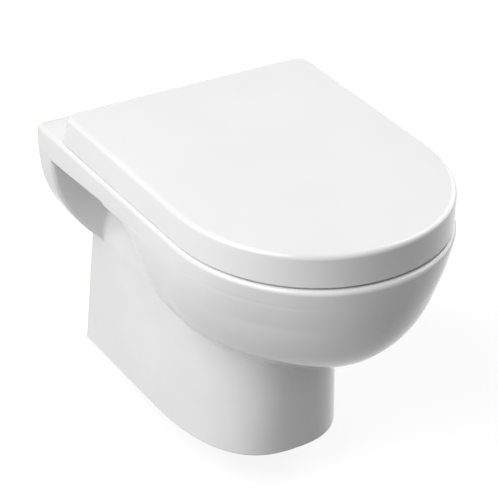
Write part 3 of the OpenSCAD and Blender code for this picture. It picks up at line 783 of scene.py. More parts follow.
        rings = []
        steps = np.linspace(HOLLOW_DEPTH, BOWL_DEPTH - SKIN, 20)
        for d in [*steps, BOWL_DEPTH + SKIN, self.height - CERAMIC]:
            front = min(self.front(d + dd) for dd in around) - CERAMIC
            y = self.columns(d, -SKIN, front, (6, 14, 20))
            x = np.maximum(inner_x(y, d), HOLLOW_LEAST)
            x[-1] = 0
            wall = np.array([[float(inner_x(np.array(-SKIN), d)), PAST]])
            rings.append(self.whole(np.concatenate([wall, np.stack([x, y], 1)]), RIM_Z - d))
        return rings

    def bowl_extent(self, d, grow, wide):
        """Centre, half width and reach to the front and the back of the bowl's inside."""
        t = np.clip((d - RIM_LIP) / (BOWL_FLOOR - RIM_LIP), 0, 1)
        k = lame(t, 2) * BOWL_ROUND + (1 - t * t) * (1 - BOWL_ROUND)
        centre = -(OPENING_BACK + OPENING_FRONT) / 2 * k - SUMP_BACK * (1 - k)
        half = SUMP_R + (OPENING_HALF + wide - SUMP_R) * k + grow
        front = SUMP_R + ((OPENING_FRONT - OPENING_BACK) / 2 + wide - SUMP_R) * k + grow
        back = -(OPENING_BACK - wide) * (1 - t) - (SUMP_BACK - SUMP_R) * t + grow - centre
        return centre, half, front, back

    def bowl_ring(self, d, grow, wide, z):
        """Ring of the bowl's inside at depth d and height z, with the opening widened by wide."""
        centre, half, front, back = self.bowl_extent(d, grow, wide)
        b = np.radians(np.arange(-87.5, 90.1, 2.5))
        x = half * np.cos(b)
        x[-1] = 0
        y = centre - np.where(b > 0, front, back) * np.sin(b)
        return self.whole(np.stack([x, y], 1), z)

    def bowl(self, grow):
        """Rings of the bowl's inside, or of its outer skin when grown."""
        if grow:
            marks = [(DECK / 2, 0), (RIM_LIP, 0)]
        else:
            marks = [(-PAST, OPENING_EDGE), *rounding(OPENING_EDGE, 9)]
            marks += [(d, 0) for d in OPENING_ROWS]
            marks += [(RIM_LIP - up, wide) for wide, up in rounding(LIP_EDGE, 6)]
            marks.append((RIM_LIP + LIP_UNDER, UNDERCUT - LIP_EDGE))
        rings = [self.bowl_ring(d, grow, wide, RIM_Z - d) for d, wide in marks]
        for f in np.sin(np.linspace(0, math.pi / 2, 40)):
            d = UNDERCUT_TOP + (BOWL_FLOOR - UNDERCUT_TOP) * f
            left = 0 if grow else (1 - min(f / UNDERCUT_EASE_SHARE, 1)) ** 2
            rings.append(self.bowl_ring(d, grow, UNDERCUT - UNDERCUT_EASE * left, RIM_Z - d - grow))
        return rings

    def trap(self, r, flare=0.0):
        """Rings of a round passage along the trap, from the bowl's floor to the outlet."""
        def arc(y, z, bend, degrees, way):
            return [(y + bend * math.cos(a), z + bend * math.sin(a),
                     -way * math.sin(a), way * math.cos(a), 0) for a in np.radians(degrees)]

        floor_z = RIM_Z - BOWL_FLOOR
        low_y, low_z = -SUMP_BACK + LOW_BEND, floor_z - TRAP_DROP
        weir_y, weir_z = low_y + LOW_BEND + WEIR_BEND, low_z + TRAP_RISE
        # Between the weir and the last bend the passage falls at 45 degrees.
        turn_z = OUTLET_Z + WEIR_BEND
        turn_y = weir_y + weir_z - turn_z + 4 * math.sqrt(0.5) * WEIR_BEND
        stops = [(-SUMP_BACK, floor_z - s, 0, -1, flare * (1 - s / TRAP_FLARE_DEPTH) ** 2)
                 for s in np.linspace(0, TRAP_FLARE_DEPTH, 8)]
        stops += arc(low_y, low_z, LOW_BEND, np.arange(180, 361, BEND_STEP), 1)
        stops += arc(weir_y, weir_z, WEIR_BEND, np.arange(180, 44, -BEND_STEP), -1)
        stops += arc(turn_y, turn_z, WEIR_BEND, np.arange(225, 271, BEND_STEP), 1)
        stops.append((-OUTLET_LENGTH / 2, OUTLET_Z, 1, 0, 0))
        angles = np.linspace(0, 2 * math.pi, 40, endpoint=False)
        rings = []
        for y, z, ahead, rise, more in stops:
            u, v = (r + more) * np.cos(angles), (r + more) * np.sin(angles)
            rings.append(np.column_stack([u, y + v * rise, z - v * ahead]))
        return rings


# ---- materials


def linear(code):
    """Linear RGBA of an sRGB hex value."""
    channels = [int(code[i:i + 2], 16) / 255 for i in (1, 3, 5)]
    return (*[c / 12.92 if c <= 0.04045 else ((c + 0.055) / 1.055) ** 2.4 for c in channels], 1.0)


def feed(tree, node, inputs):
    """Gives inputs, by name or number, a value, a link or the link of a node's first output."""
    for key, value in inputs.items():
        if isinstance(value, bpy.types.Node):
            value = value.outputs[0]
        if isinstance(value, bpy.types.NodeSocket):
            tree.links.new(value, node.inputs[key])
        else:
            node.inputs[key].default_value = value
    return node


def add_node(tree, kind, inputs, stops=(), **settings):
    """Adds a node with its settings and inputs; stops are the two hex colours of a ramp."""
    node = tree.nodes.new(kind)
    for key, value in settings.items():
        setattr(node, key, value)
    for k, code in enumerate(stops):
        node.color_ramp.elements[k].position = NOISE_RANGE[k]
        node.color_ramp.elements[k].color = linear(code)
    return feed(tree, node, inputs)


def new_material(name):
    """Material with its node tree, its shader and its object coordinates."""
    material = bpy.data.materials.new(name)
    material.use_nodes = True
    tree = material.node_tree
    where = add_node(tree, "ShaderNodeTexCoord", {}).outputs["Object"]
    return material, tree, tree.nodes["Principled BSDF"], where


def dress(tree, shader, colour, rough, relief, **own):
    """Gives a shader its colour, roughness, relief and its own plain values.

    rough is (pattern, lowest, highest) and relief is (pattern, depth in millimetres)."""
    gloss = add_node(tree, "ShaderNodeMapRange",
                     {"Value": rough[0], "To Min": rough[1], "To Max": rough[2]})
    bump = add_node(tree, "ShaderNodeBump", {"Height": relief[0], "Distance": relief[1] * MM})
    feed(tree, shader, {"Base Color": colour, "Roughness": gloss, "Normal": bump, **own})


def fired_glaze(name):
    """Vitreous china, slip cast and spray glazed: a deep wet gloss over a barely uneven skin.

    The wall face and the hollow behind it carry no glaze, so they are duller and creamier."""
    material, tree, shader, where = new_material(name)
    # The glaze clouds over 90 mm, the bare body has 6 mm grit, and a 12 mm pattern frays the edge
    # between them. Glaze flows into low waves 14 mm apart over finer 2 mm orange peel.
    cloud, grit, fray, waves, peel = (
        add_node(tree, "ShaderNodeTexNoise",
                 {"Vector": where, "Scale": 1 / (size * MM), "Detail": detail, "Roughness": rough})
        for size, detail, rough in ((90, 3, 0.5), (6, 4, 0.7), (12, 2, 0.5), (14, 2, 0.5),
                                    (2, 2, 0.5))
    )
    white = bpy.context.scene.toilet_finish.glaze
    glaze = add_node(tree, "ShaderNodeValToRGB", {"Fac": cloud}, ("#E9E9E9", white))
    body = add_node(tree, "ShaderNodeValToRGB", {"Fac": grit}, ("#D9D4C8", "#E6E1D6"))
    split = add_node(tree, "ShaderNodeSeparateXYZ", {"Vector": where})
    edge = add_node(tree, "ShaderNodeMath", {0: fray, 1: 3.0 * MM, 2: split.outputs["Y"]},
                    operation="MULTIPLY_ADD")
    bare = add_node(tree, "ShaderNodeMapRange",
                    {"Value": edge, "From Min": -0.4 * MM, "From Max": 0.6 * MM})
    mix = add_node(tree, "ShaderNodeMix", {"Factor": bare, 6: glaze, 7: body}, data_type="RGBA")
    relief = add_node(tree, "ShaderNodeMath", {0: peel, 1: 0.12, 2: waves},
                      operation="MULTIPLY_ADD")
    dress(tree, shader, mix.outputs[2], (bare, 0.09, 0.72), (relief, 0.05), IOR=1.52)
    return material


def moulded_urea(name):
    """Urea duroplast, hot pressed in polished steel: hard, bright and very even."""
    material, tree, shader, where = new_material(name)
    # Its white drifts over 140 mm and its gloss over 30 mm, and shrinkage leaves a faint
    # unevenness about 25 mm across.
    cloud, sheen, shrink = (
        add_node(tree, "ShaderNodeTexNoise",
                 {"Vector": where, "Scale": 1 / (size * MM), "Detail": detail})
        for size, detail in ((140, 2), (30, 3), (25, 1))
    )
    white = bpy.context.scene.toilet_finish.seat
    colour = add_node(tree, "ShaderNodeValToRGB", {"Fac": cloud}, ("#EDEDED", white))
    dress(tree, shader, colour, (sheen, 0.11, 0.17), (shrink, 0.03), IOR=1.54)
    return material


def plastic(name, dark, light, rough, grain, depth, ior=1.5):
    """Moulded plastic or rubber with an eroded mould texture of grain millimetres."""
    material, tree, shader, where = new_material(name)
    speck = add_node(tree, "ShaderNodeTexNoise",
                     {"Vector": where, "Scale": 1 / (grain * MM), "Detail": 3, "Roughness": 0.6})
    colour = add_node(tree, "ShaderNodeValToRGB", {"Fac": speck}, (dark, light))
    dress(tree, shader, colour, (speck, rough - 0.06, rough + 0.06), (speck, depth), IOR=ior)
    return material


def metal(name, dark, light, rough, line, depth, stretch):
    """Metal with fine marks, line millimetres apart, drawn out by the stretch."""
    material, tree, shader, where = new_material(name)
    mapped = add_node(tree, "ShaderNodeMapping", {"Vector": where, "Scale": stretch})
    speck = add_node(tree, "ShaderNodeTexNoise",
                     {"Vector": mapped, "Scale": 1 / (line * MM), "Roughness": 0.6})
    colour = add_node(tree, "ShaderNodeValToRGB", {"Fac": speck}, (dark, light))
    dress(tree, shader, colour, (speck, rough * 0.8, rough * 1.3), (speck, depth), Metallic=1.0)
    return material


FINISHES = {
    "glaze": (fired_glaze, "Vitreous china, slip cast and glazed"),
    "seat": (moulded_urea, "Urea duroplast, pressed in a polished mould"),
    # Soft translucent buffer plastic: pale grey, dull.
    "buffer": (plastic, "EVA, moulded", "#CFCFCB", "#D8D8D4", 0.55, 1.5, 0.01),
    # Black rubber with the dull skin of a cured moulding.
    "rubber": (plastic, "EPDM rubber, moulded and cured", "#1C1C1D", "#262627", 0.62, 0.8, 0.02,
               1.52),
    # Off white nylon, slightly waxy.
    "nylon": (plastic, "Nylon, injection moulded", "#DEDCD2", "#E8E6DD", 0.42, 1.0, 0.015, 1.53),
    # Grey acetal damper bodies, smooth with a low sheen.
    "acetal": (plastic, "Acetal, injection moulded", "#454547", "#505052", 0.36, 1.2, 0.01, 1.48),
    # Chrome over polished zinc: mirror bright with a slightly milky spread.
    "chrome": (metal, "Zinc, die cast and chrome plated", "#CFCFD0", "#DADADB", 0.08, 6.0, 0.004,
               (1, 1, 1)),
    # Stainless fasteners turned on a lathe: bright, with fine rings round an upright axis, or
    # round one that leaves the wall.
    "steel": (metal, "Stainless steel, turned", "#A9A8A5", "#BCBBB8", 0.26, 0.35, 0.008,
              (0.04, 0.04, 1)),
    "steel_side": (metal, "Stainless steel, turned and faced", "#A9A8A5", "#BCBBB8", 0.28, 0.35,
                   0.008, (0.04, 1, 0.04)),
}


def material_of(key):
    """Material of a finish, made at its first use."""
    make, name, *values = FINISHES[key]
    return bpy.data.materials.get(name) or make(name, *values)


# ---- operators


def direction(azimuth, elevation):
    """Unit vector from the object towards a place given in degrees."""
    turn, rise = math.radians(azimuth), math.radians(elevation)
    flat = math.cos(rise)
    return Vector((math.sin(turn) * flat, -math.cos(turn) * flat, math.sin(rise)))


class TOILET_OT_stage(bpy.types.Operator):
    """Sets the camera, the lamps, the floor and the white studio behind the pan"""

    bl_idname = "toilet.stage"
    bl_label = "Stage"

    def execute(self, context):
        scene = context.scene
        scene.view_settings.view_transform = "Standard"
        self.camera(scene)
        self.floor(scene)
        self.world(scene)
        self.lamps(scene)
        return {"FINISHED"}

    def camera(self, scene):
        """Camera at the photograph's viewing angle."""
        data = bpy.data.cameras.new("camera")
        data.sensor_width = 36.0
        data.lens = CAMERA_LENS
        data.clip_end = 50.0
        camera = bpy.data.objects.new("camera", data)
        back = direction(CAMERA_AZIMUTH, CAMERA_ELEVATION)
        roll = math.radians(CAMERA_ROLL)
        right = (-back).cross(Vector((0, 0, 1))).normalized()
        up = right.cross(-back)
        side = right * math.cos(roll) + up * math.sin(roll)
        rise = up * math.cos(roll) - right * math.sin(roll)
        turn = Matrix((side, rise, back)).transposed().to_4x4()
        rim = Vector((0, 0, RIM_Z * MM))
        camera.matrix_world = Matrix.Translation(CAMERA_FROM_RIM + rim) @ turn
        scene.collection.objects.link(camera)
        scene.camera = camera

    def floor(self, scene):
        """Pale floor at the usual height, 400 mm below the rim.

        Painted screed is dull, with the fine stipple that a roller leaves."""
        edit = bmesh.new()
        bmesh.ops.create_grid(edit, x_segments=1, y_segments=1, size=FLOOR_SIZE)
        floor = add_object("floor", edit)
        floor.location.z = RIM_Z * MM - FLOOR_DROP
        material, tree, shader, where = new_material("Painted screed, rolled")
        roller = add_node(tree, "ShaderNodeTexNoise", {"Vector": where, "Scale": 1 / (3 * MM)})
        bump = add_node(tree, "ShaderNodeBump", {"Height": roller, "Distance": 0.05 * MM})
        path = add_node(tree, "ShaderNodeLightPath", {})
        seen = add_node(tree, "ShaderNodeMath",
                        {0: path.outputs["Is Camera Ray"], 1: path.outputs["Is Glossy Ray"]},
                        operation="MAXIMUM")
        glow = add_node(tree, "ShaderNodeMath", {0: seen, 1: FLOOR_GLOW}, operation="MULTIPLY")
        feed(tree, shader, {
            "Base Color": linear(scene.toilet_finish.floor), "Roughness": 0.9, "Normal": bump,
            "Emission Color": (1, 1, 1, 1), "Emission Strength": glow,
        })
        floor.data.materials.append(material)

    def world(self, scene):
        """Faint even light, seen as white by the camera, in reflections and through glass."""
        world = bpy.data.worlds.new("studio")
        world.use_nodes = True
        tree = world.node_tree
        path = add_node(tree, "ShaderNodeLightPath", {})
        seen = path.outputs["Is Camera Ray"]
        for ray in ("Is Glossy Ray", "Is Transmission Ray"):
            seen = add_node(tree, "ShaderNodeMath", {0: seen, 1: path.outputs[ray]},
                            operation="MAXIMUM").outputs[0]
        strength = add_node(tree, "ShaderNodeMapRange", {"Value": seen, "To Min": STUDIO_LIGHT})
        feed(tree, tree.nodes["Background"], {"Color": (1, 1, 1, 1), "Strength": strength})
        scene.world = world

    def lamps(self, scene):
        """Large soft key from the left, and a weaker lamp from behind on the right."""
        for name, azimuth, elevation, power in LAMPS:
            data = bpy.data.lights.new(name, "AREA")
            data.shape = "DISK"
            data.size = LAMP_SIZE
            data.energy = power
            lamp = bpy.data.objects.new(name, data)
            towards_lamp = direction(azimuth, elevation)
            lamp.location = LAMP_AIM + towards_lamp * LAMP_DISTANCE
            lamp.rotation_euler = towards_lamp.to_track_quat("Z", "Y").to_euler()
            scene.collection.objects.link(lamp)


class TOILET_OT_pan(bpy.types.Operator):
    """Builds the glazed pan with its bowl, trap, hollow back and holes"""

    bl_idname = "toilet.pan"
    bl_label = "Pan"

    def execute(self, context):
        form = PanForm(context.scene.toilet_pan)
        hollow = make_object("hollow", *loft(form.hollow()))
        keep = [
            make_object("bowl_skin", *loft(form.bowl(CERAMIC))),
            make_object("trap_skin", *loft(form.trap(TRAP_BORE + TRAP_WALL))),
            along_wall("outlet_skin", OUTLET_Z, SETBACK, SETBACK + OUTLET_LENGTH, OUTLET_R),
            block("inlet_block",
                  (-CASING_HALF, -INLET_LENGTH - CERAMIC, INLET_Z - INLET_R - CERAMIC),
                  (CASING_HALF, 2 * PAST, RIM_Z + CERAMIC)),
            along_wall("channel_skin", INLET_Z, INLET_LENGTH, OPENING_BACK, CHANNEL_R + TRAP_WALL),
        ]
        combine(hollow, keep)
        cutters = [
            hollow,
            make_object("bowl", *loft(form.bowl(0))),
            make_object("trap", *loft(form.trap(TRAP_BORE, TRAP_FLARE))),
            flared("outlet", (0, 0, OUTLET_Z), "Y", -OUTLET_LENGTH, PAST, OUTLET_R - OUTLET_WALL,
                   OUTLET_EASE),
            flared("inlet", (0, 0, INLET_Z), "Y", -INLET_LENGTH, 0.0, INLET_R),
            along_wall("channel", INLET_Z, INLET_LENGTH - 2 * PAST, OPENING_BACK + CERAMIC,
                       CHANNEL_R),
        ]
        pocket = soften([(1.0, -FLANGE), (BOLT_POCKET, -FLANGE), (BOLT_POCKET, -FLANGE_FACE),
                         (BOLT_POCKET + POCKET_FLARE, -FLANGE_FACE - PAST)], POCKET_EDGE)
        for side in (-1, 1):
            bolt = (side * BOLT_X, 0, 0)
            cutters += [
                flared("bolt", bolt, "Y", -FLANGE, 0.0, BOLT_HOLE, HOLE_EASE),
                make_object("pocket", *turned(pocket, bolt, "Y")),
                flared("seat_hole", (side * HOLE_X, HOLE_Y, 0), "Z", RIM_Z - DECK, RIM_Z, SEAT_HOLE,
                       HOLE_EASE),
            ]
        pan = combine(make_object("glazed_pan", *loft(form.outside())), cutters)
        place(smooth(pan, PAN_SHARP), "pan", "glazed_ceramic", "glaze", "pan")
        return {"FINISHED"}


def d_outline(half, back, corner, reach):
    """One side of a D shaped outline, from the middle of its back to its nose."""
    rows = [((half - corner) * (i + 0.5) / 8.5, -back) for i in range(8)]
    rows += [(half - side, -back - along) for along, side in rounding(corner, 13)]
    start = -back - corner
    rows += [(half, start - (SIDE_LENGTH + start) * i / 12) for i in range(1, 13)]
    for a in np.radians(np.arange(2, 89, 2)):
        ahead = (reach - SIDE_LENGTH) * math.sin(a) ** (2 / SEAT_POWER)
        rows.append((half * math.cos(a) ** (2 / SEAT_POWER), -SIDE_LENGTH - ahead))
    return np.array([*rows, (0, -reach)])


def both_sides(half, z):
    """Closed ring of an outline and its mirror image at height z."""
    flat = np.concatenate([half, half[-2::-1] * [-1, 1]])
    return np.column_stack([flat, np.full(len(flat), z)])


def barrel(side, way):
    """Ends, barrel and bore cutter beside a hinge post, outwards (way 1) or inwards (way -1)."""
    damped = side * way < 0
    length = LONG_BARREL if damped else SHORT_BARREL
    start = HOLE_X + way * (POST_HALF + SIDE_GAP)
    ends = sorted((side * start, side * (start + way * length)))
    bore = sorted((side * (start - way * PAST), side * (start + way * (length - BARREL_END))))
    return (ends, rod("barrel", AXIS, "X", *ends, BARREL, BARREL_EDGE),
            rod("bore", AXIS, "X", *bore, DAMPER_HOLE if damped else BUSH_HOLE, BORE_EDGE))


def buffers(name, body, node, side_x, nose_y, low, high):
    """Four round buffers with a rounded foot and a shallow dimple."""
    profile = [(PAD_R * share, low + rise) for share, rise in PAD_FOOT]
    profile += [(PAD_R, high), (PAD_R * PAD_FOOT[0][0], high)]
    profile = soften(profile, PAD_EDGE)
    places = ((side_x, PAD_Y), (RING_OPENING_HALF * PAD_FRONT_X, nose_y))
    pads = [make_object("pad", *turned(profile, (side * x, y, 0)))
            for x, y in places for side in (-1, 1)]
    place_set(name, pads, "buffer_rubber", "buffer", node, body)


class TOILET_OT_cover(bpy.types.Operator):
    """Builds the cover with its rolled down edge, hinge barrels and buffers"""

    bl_idname = "toilet.cover"
    bl_label = "Cover"

    def execute(self, context):
        sizes = context.scene.toilet_seat
        half, reach = sizes.cover_width / MM / 2, sizes.cover_reach / MM
        edge = sizes.cover_edge / MM
        low, top = RIM_Z + COVER_GAP, COVER_HIGH.z / MM
        inner = top - COVER_WALL

        def ring(inset, z):
            back = COVER_BACK + COVER_LEAN * (z - low) / (top - low)
            corner = max(COVER_CORNER - inset, CORNER_LEAST)
            return both_sides(d_outline(half - inset, back + inset, corner, reach - inset), z)

        rings = [ring(edge + COVER_FLAT, top)]
        rings += [ring(inset, top - down) for down, inset in rounding(edge, 11)]
        rings += [ring(0, z) for z in np.linspace(top - edge, low + COVER_FOOT, 5)[1:]]
        rings += [ring(inset, low + up) for inset, up in rounding(COVER_FOOT, 11)[1::2]]
        rings += [ring(COVER_WALL - left, low + up) for up, left in rounding(COVER_LIP, 11)[::2]]
        rings += [ring(COVER_WALL + inset, inner - down)
                  for inset, down in rounding(COVER_FILLET, 11)]
        rings.append(ring(COVER_WALL + 2 * COVER_FLAT, inner))
        cover = make_object("moulded_cover", *loft(rings))
        web, web_z = BARREL - SIDE_GAP, top - COVER_WALL / 2
        outline = [(AXIS_Y - web, AXIS_Z), (AXIS_Y - web, web_z), (COVER_WEB, web_z),
                   (AXIS_Y + web / 2, AXIS_Z)]
        notches, joined, bores = [], [], []
        for side in (-1, 1):
            start, end = sorted((side * (HOLE_X - POST_HALF - LONG_BARREL - 3 * SIDE_GAP),
                                 side * (HOLE_X + POST_HALF + NOTCH_GAP)))
            notches.append(block("notch", (start, AXIS_Y - BARREL - COVER_WALL, low - 2 * PAST),
                                 (end, 0, inner + NOTCH_ROOF)))
            ends, round_bar, bore = barrel(side, 1)
            joined += [round_bar, prism("web", outline, ends[0] + WEB_END, ends[1] - WEB_END)]
            bores.append(bore)
        combine(cover, notches)
        combine(cover, joined, "UNION")
        combine(cover, bores)
        place(smooth(cover), "cover", "seat_plastic", "seat", "cover")
        ring_half = sizes.ring_width / MM / 2
        buffers("cover_pads", "cover", "cover_buffers", (ring_half + RING_OPENING_HALF) / 2,
                PAD_FRONT - (RING_REACH + RING_OPENING_FRONT) / 2, RING_TOP + REST_GAP, inner)
        return {"FINISHED"}


class TOILET_OT_seat(bpy.types.Operator):
    """Builds the seat ring with its arms, hinge barrels and buffers"""

    bl_idname = "toilet.seat"
    bl_label = "Seat ring"

    def execute(self, context):
        half = context.scene.toilet_seat.ring_width / MM / 2
        base = d_outline(half, RING_BACK, RING_CORNER, RING_REACH)
        centre = -(RING_OPENING_BACK + RING_OPENING_FRONT) / 2
        deep = (RING_OPENING_FRONT - RING_OPENING_BACK) / 2

        def outer(inset, z):
            return both_sides(d_outline(half - inset, RING_BACK + inset, RING_CORNER,
                                        RING_REACH - inset), z)

        def inner(grow, z):
            wide, long = RING_OPENING_HALF + grow, deep + grow
            bearing = np.arctan2(base[:, 0] / wide, (base[:, 1] - centre) / long)
            x = wide * np.sin(bearing)
            x[-1] = 0
            return both_sides(np.stack([x, centre + long * np.cos(bearing)], 1), z)

        rings = [outer(RING_EDGE + RING_FLAT, RING_TOP)]
        rings += [outer(inset, RING_TOP - down) for down, inset in rounding(RING_EDGE, 9)]
        rings += [outer(0, z) for z in RING_ROWS]
        rings += [outer(inset, RING_Z + up) for inset, up in rounding(RING_FOOT, 9)[::2]]
        rings.append(outer(RING_FOOT + RING_FOOT_FLAT, RING_Z))
        rings.append(inner(RING_LIP + RING_LIP_FLAT, RING_Z))
        rings += [inner(grow, RING_Z + up) for up, grow in rounding(RING_LIP, 9)[::2]]
        rings += [inner(grow, z) for grow, z in RING_SLOPE]
        ring = make_object("seat_ring_moulded", *loft(rings, looped=True))
        arm_top = RING_TOP - ARM_DROP
        outline = [(-RING_BACK - ARM_ROOT, RING_Z + ARM_RISE), (-RING_BACK - ARM_ROOT, arm_top),
                   (-RING_BACK, arm_top), (AXIS_Y, AXIS_Z + ARM_HALF), (AXIS_Y, AXIS_Z - ARM_HALF)]
        joined, bores = [], []
        for side in (-1, 1):
            ends, round_bar, bore = barrel(side, -1)
            joined += [round_bar, prism("arm", outline, ends[0] + WEB_END, ends[1] - WEB_END)]
            bores.append(bore)
        combine(ring, joined, "UNION")
        combine(ring, bores)
        place(smooth(ring), "seat", "seat_plastic", "seat", "seat_ring")
        buffers("ring_pads", "seat", "seat_buffers", (half + OPENING_HALF) / 2,
                PAD_FRONT - (RING_REACH + OPENING_FRONT) / 2, RIM_Z + REST_GAP, RING_Z)
        return {"FINISHED"}


class TOILET_OT_hinge(bpy.types.Operator):
    """Builds the hinge posts, pins, base discs and their gaskets, and gives the model's dampers and
    bushes their materials
    """

    bl_idname = "toilet.hinge"
    bl_label = "Hinges"

    def execute(self, context):
        foot = RIM_Z + DISC_TOP
        profile = soften([(0.5, foot), (POST_R, foot), (POST_R, POST_TOP), (0.5, POST_TOP)], 1.0)
        for side, word in ((-1, "left"), (1, "right")):
            x = side * HOLE_X
            start, end = x - POST_HALF, x + POST_HALF
            post = make_object(f"chromed_post_{word}", *turned(profile, (x, HOLE_Y, 0)))
            head = rod("head", AXIS, "X", start, end, HEAD_R, 1.0)
            web = block("web", (start, HOLE_Y - POST_R / 2, AXIS_Z - POST_R),
                        (end, AXIS_Y, AXIS_Z + POST_R), 1.2)
            combine(post, [head, web], "UNION")
            combine(post, [
                rod("bore", AXIS, "X", start - PAST, end + PAST, PIN_HOLE, BORE_EDGE),
                rod("stud_hole", (x, HOLE_Y, 0), "Z", foot - PAST, foot + POST_HOLE, STUD_BORE,
                    BORE_EDGE),
            ])
            place(smooth(post), "pan", "hinge_metal", "chrome", f"hinge_post_{word}")
            inner, outer = (PIN_IN_LONG, PIN_IN_SHORT)[::side]
            reach = sorted((side * (HOLE_X - POST_HALF - SIDE_GAP - inner),
                            side * (HOLE_X + POST_HALF + SIDE_GAP + outer)))
            pin = rod(f"steel_pin_{word}", AXIS, "X", *reach, PIN_R, 0.5)
            place(smooth(pin), "pan", "steel", "steel", f"hinge_pin_{word}")
        for name, node, low, high, outer, key, slot in (
            ("chromed_discs", "base_discs", GASKET, DISC_TOP, DISC_R, "chrome", "hinge_metal"),
            ("soft_gaskets", "disc_gaskets", 0, GASKET, GASKET_R, "rubber", "gasket_rubber"),
        ):
            rings = [collar("disc", (side * HOLE_X, HOLE_Y, 0), "Z", RIM_Z + low, RIM_Z + high,
                            outer, STUD_HOLE, 0.6) for side in (-1, 1)]
            place_set(name, rings, slot, key, node)
        for node, key in (("seat_damper", "acetal"), ("cover_damper", "acetal"),
                          ("seat_hinge_bush", "nylon"), ("cover_hinge_bush", "nylon")):
            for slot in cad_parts[node].material_slots:
                slot.link = "OBJECT"
                slot.material = material_of(key)
        return {"FINISHED"}


def threaded(angles, h, r):
    """Radius of a stud's thread at an angle and height; its ends are plain."""
    if r < STUD_R:
        return np.full(len(angles), r)
    phase = (h / THREAD_PITCH - angles / (2 * math.pi)) % 1
    return r - THREAD_DEPTH * np.abs(2 * phase - 1)


class TOILET_OT_seat_fixing(bpy.types.Operator):
    """Builds the studs, bushes, washers and wing nuts that hold the seat to the deck"""

    bl_idname = "toilet.seat_fixing"
    bl_label = "Seat fixing"

    def execute(self, context):
        under = RIM_Z - DECK
        face = under - REST_GAP - WASHER
        low, high = under - STUD_UNDER, RIM_Z + STUD_OVER
        profile = [(STUD_R / 2, low), (STUD_END_R, low)]
        profile += [(STUD_R, h) for h in np.arange(low + 0.6, high - 0.6, THREAD_STEP)]
        profile += [(STUD_END_R, high), (STUD_R / 2, high)]
        studs, bushes, washers, nuts = [], [], [], []
        for side in (-1, 1):
            at = (side * HOLE_X, HOLE_Y, 0)
            studs.append(make_object("stud", *turned(profile, at, sides=32, radius=threaded)))
            bushes.append(collar("bush", at, "Z", under, RIM_Z - REST_GAP, BUSH_R, STUD_HOLE, 0.5))
            washers.append(collar("washer", at, "Z", face, face + WASHER, WASHER_R, STUD_HOLE))
            nuts.append(self.wing_nut(at, face))
        place_set("threaded_studs", studs, "steel", "steel", "seat_studs")
        place_set("nylon_bushes", bushes, "nylon", "nylon", "stud_bushes")
        place_set("steel_washers", washers, "steel", "steel", "stud_washers")
        place_set("moulded_wing_nuts", nuts, "nylon", "nylon", "wing_nuts")
        return {"FINISHED"}

    def wing_nut(self, at, face):
        """Round hub with two rounded wings under it."""
        low = face - HUB
        hub = collar("hub", at, "Z", low, face, HUB_R, STUD_BORE, 0.8)
        thin = (HOLE_Y - EAR_HALF, HOLE_Y + EAR_HALF)
        wings = []
        for end in (-1, 1):
            tip = at[0] + end * EAR_X
            start, stop = sorted((at[0] + end * WING_X, tip))
            wings += [
                rod("ear", (tip, 0, low + EAR_R), "Y", *thin, EAR_R, 1.0, 40),
                block("web", (start, thin[0], low), (stop, thin[1], low + 2 * EAR_R), 0.8),
            ]
        return combine(hub, wings, "UNION")


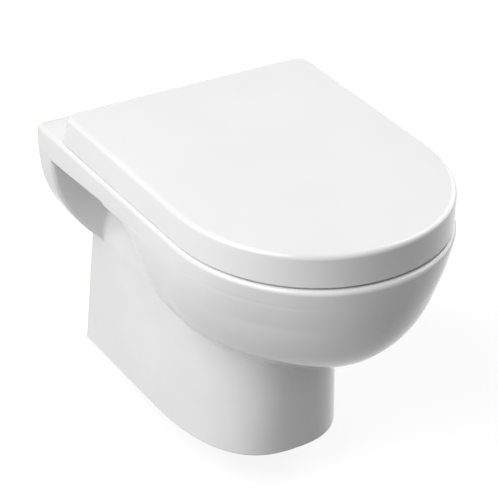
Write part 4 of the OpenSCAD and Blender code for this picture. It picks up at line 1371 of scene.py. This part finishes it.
class TOILET_OT_wall_fixing(bpy.types.Operator):
    """Builds the sleeves, washers and nuts at the wall flange and the inlet's seal"""

    bl_idname = "toilet.wall_fixing"
    bl_label = "Wall fixing"

    def execute(self, context):
        collar_y = -FLANGE - COLLAR_GAP
        washer_y = collar_y - SLEEVE_COLLAR
        nut_y = washer_y - WASHER
        profile = [(SLEEVE_BORE, 0), (SLEEVE_BORE, washer_y), (WALL_WASHER_R, washer_y),
                   (WALL_WASHER_R, collar_y), (SLEEVE_R, collar_y), (SLEEVE_R, 0)]
        profile = soften(profile, 0.5, True)
        sleeves, washers, nuts = [], [], []
        for side in (-1, 1):
            at = (side * BOLT_X, 0, 0)
            sleeves.append(make_object("sleeve", *turned(profile, at, "Y", True)))
            washers.append(collar("washer", at, "Y", nut_y, washer_y, WALL_WASHER_R, SLEEVE_BORE))
            nuts.append(self.hex_nut(at, nut_y - NUT, nut_y))
        place_set("nylon_sleeves", sleeves, "nylon", "nylon", "wall_sleeves")
        place_set("wall_steel_washers", washers, "steel", "steel_side", "wall_washers")
        place_set("hexagon_nuts", nuts, "steel", "steel_side", "wall_nuts", angle=NUT_SHARP)
        lips = [(SEAL_BORE, -SETBACK), (SEAL_R, -SETBACK)]
        for y in SEAL_GROOVES:
            lips += [(SEAL_R, GROOVE_HALF - y), (SEAL_R - GROOVE_DEPTH, -y),
                     (SEAL_R, -GROOVE_HALF - y)]
        lips += [(SEAL_R, -SEAL_LENGTH), (SEAL_BORE, -SEAL_LENGTH)]
        lips = soften(lips, GROOVE_DEPTH, True)
        seal = make_object("lipped_seal", *turned(lips, (0, 0, INLET_Z), "Y", True))
        place(smooth(seal), "pan", "gasket_rubber", "rubber", "flush_inlet_seal")
        return {"FINISHED"}

    def hex_nut(self, at, start, end):
        """Nut 19 mm across its flats, with its corners chamfered at both ends."""
        def radius(angles, h, r):
            if r < NUT_FLAT:
                return np.full(len(angles), r)
            near = (angles + math.pi / 6) % (math.pi / 3) - math.pi / 6
            chamfer = NUT_FLAT * 0.98 + min(h - start, end - h) * NUT_CHAMFER
            return np.minimum(NUT_FLAT / np.cos(near), chamfer)

        heights = [start, start + 0.4, start + 0.9, (start + end) / 2, end - 0.9, end - 0.4, end]
        profile = [(NUT_BORE, start + 0.6), (NUT_BORE + NUT_EASE, start)]
        profile += [(NUT_FLAT, h) for h in heights]
        profile += [(NUT_BORE + NUT_EASE, end), (NUT_BORE, end - 0.6)]
        return make_object("nut", *turned(profile, at, "Y", True, 96, radius))


class TOILET_PT_panel(bpy.types.Panel):
    """Sizes, finishes and build steps of the toilet."""

    bl_idname = "TOILET_PT_panel"
    bl_label = "Toilet"
    bl_space_type = "VIEW_3D"
    bl_region_type = "UI"
    bl_category = "Toilet"

    def draw(self, context):
        scene = context.scene
        for title, group in (("Pan", scene.toilet_pan), ("Seat", scene.toilet_seat),
                             ("Finish", scene.toilet_finish)):
            box = self.layout.box()
            box.label(text=title)
            for name in group.__annotations__:
                box.prop(group, name)
        for operator in OPERATORS:
            self.layout.operator(operator.bl_idname)


OPERATORS = (TOILET_OT_stage, TOILET_OT_pan, TOILET_OT_cover, TOILET_OT_seat, TOILET_OT_hinge,
             TOILET_OT_seat_fixing, TOILET_OT_wall_fixing)
GROUPS = {"toilet_pan": PanSizes, "toilet_seat": SeatSizes, "toilet_finish": FinishColours}


def register():
    for kind in (*GROUPS.values(), *OPERATORS, TOILET_PT_panel):
        bpy.utils.register_class(kind)
    for name, group in GROUPS.items():
        setattr(bpy.types.Scene, name, bpy.props.PointerProperty(type=group))


def unregister():
    for name in GROUPS:
        delattr(bpy.types.Scene, name)
    for kind in (TOILET_PT_panel, *reversed(OPERATORS), *GROUPS.values()):
        bpy.utils.unregister_class(kind)


def main():
    register()
    for operator in OPERATORS:
        group, name = operator.bl_idname.split(".")
        getattr(getattr(bpy.ops, group), name)()


if __name__ == "__main__":
    main()
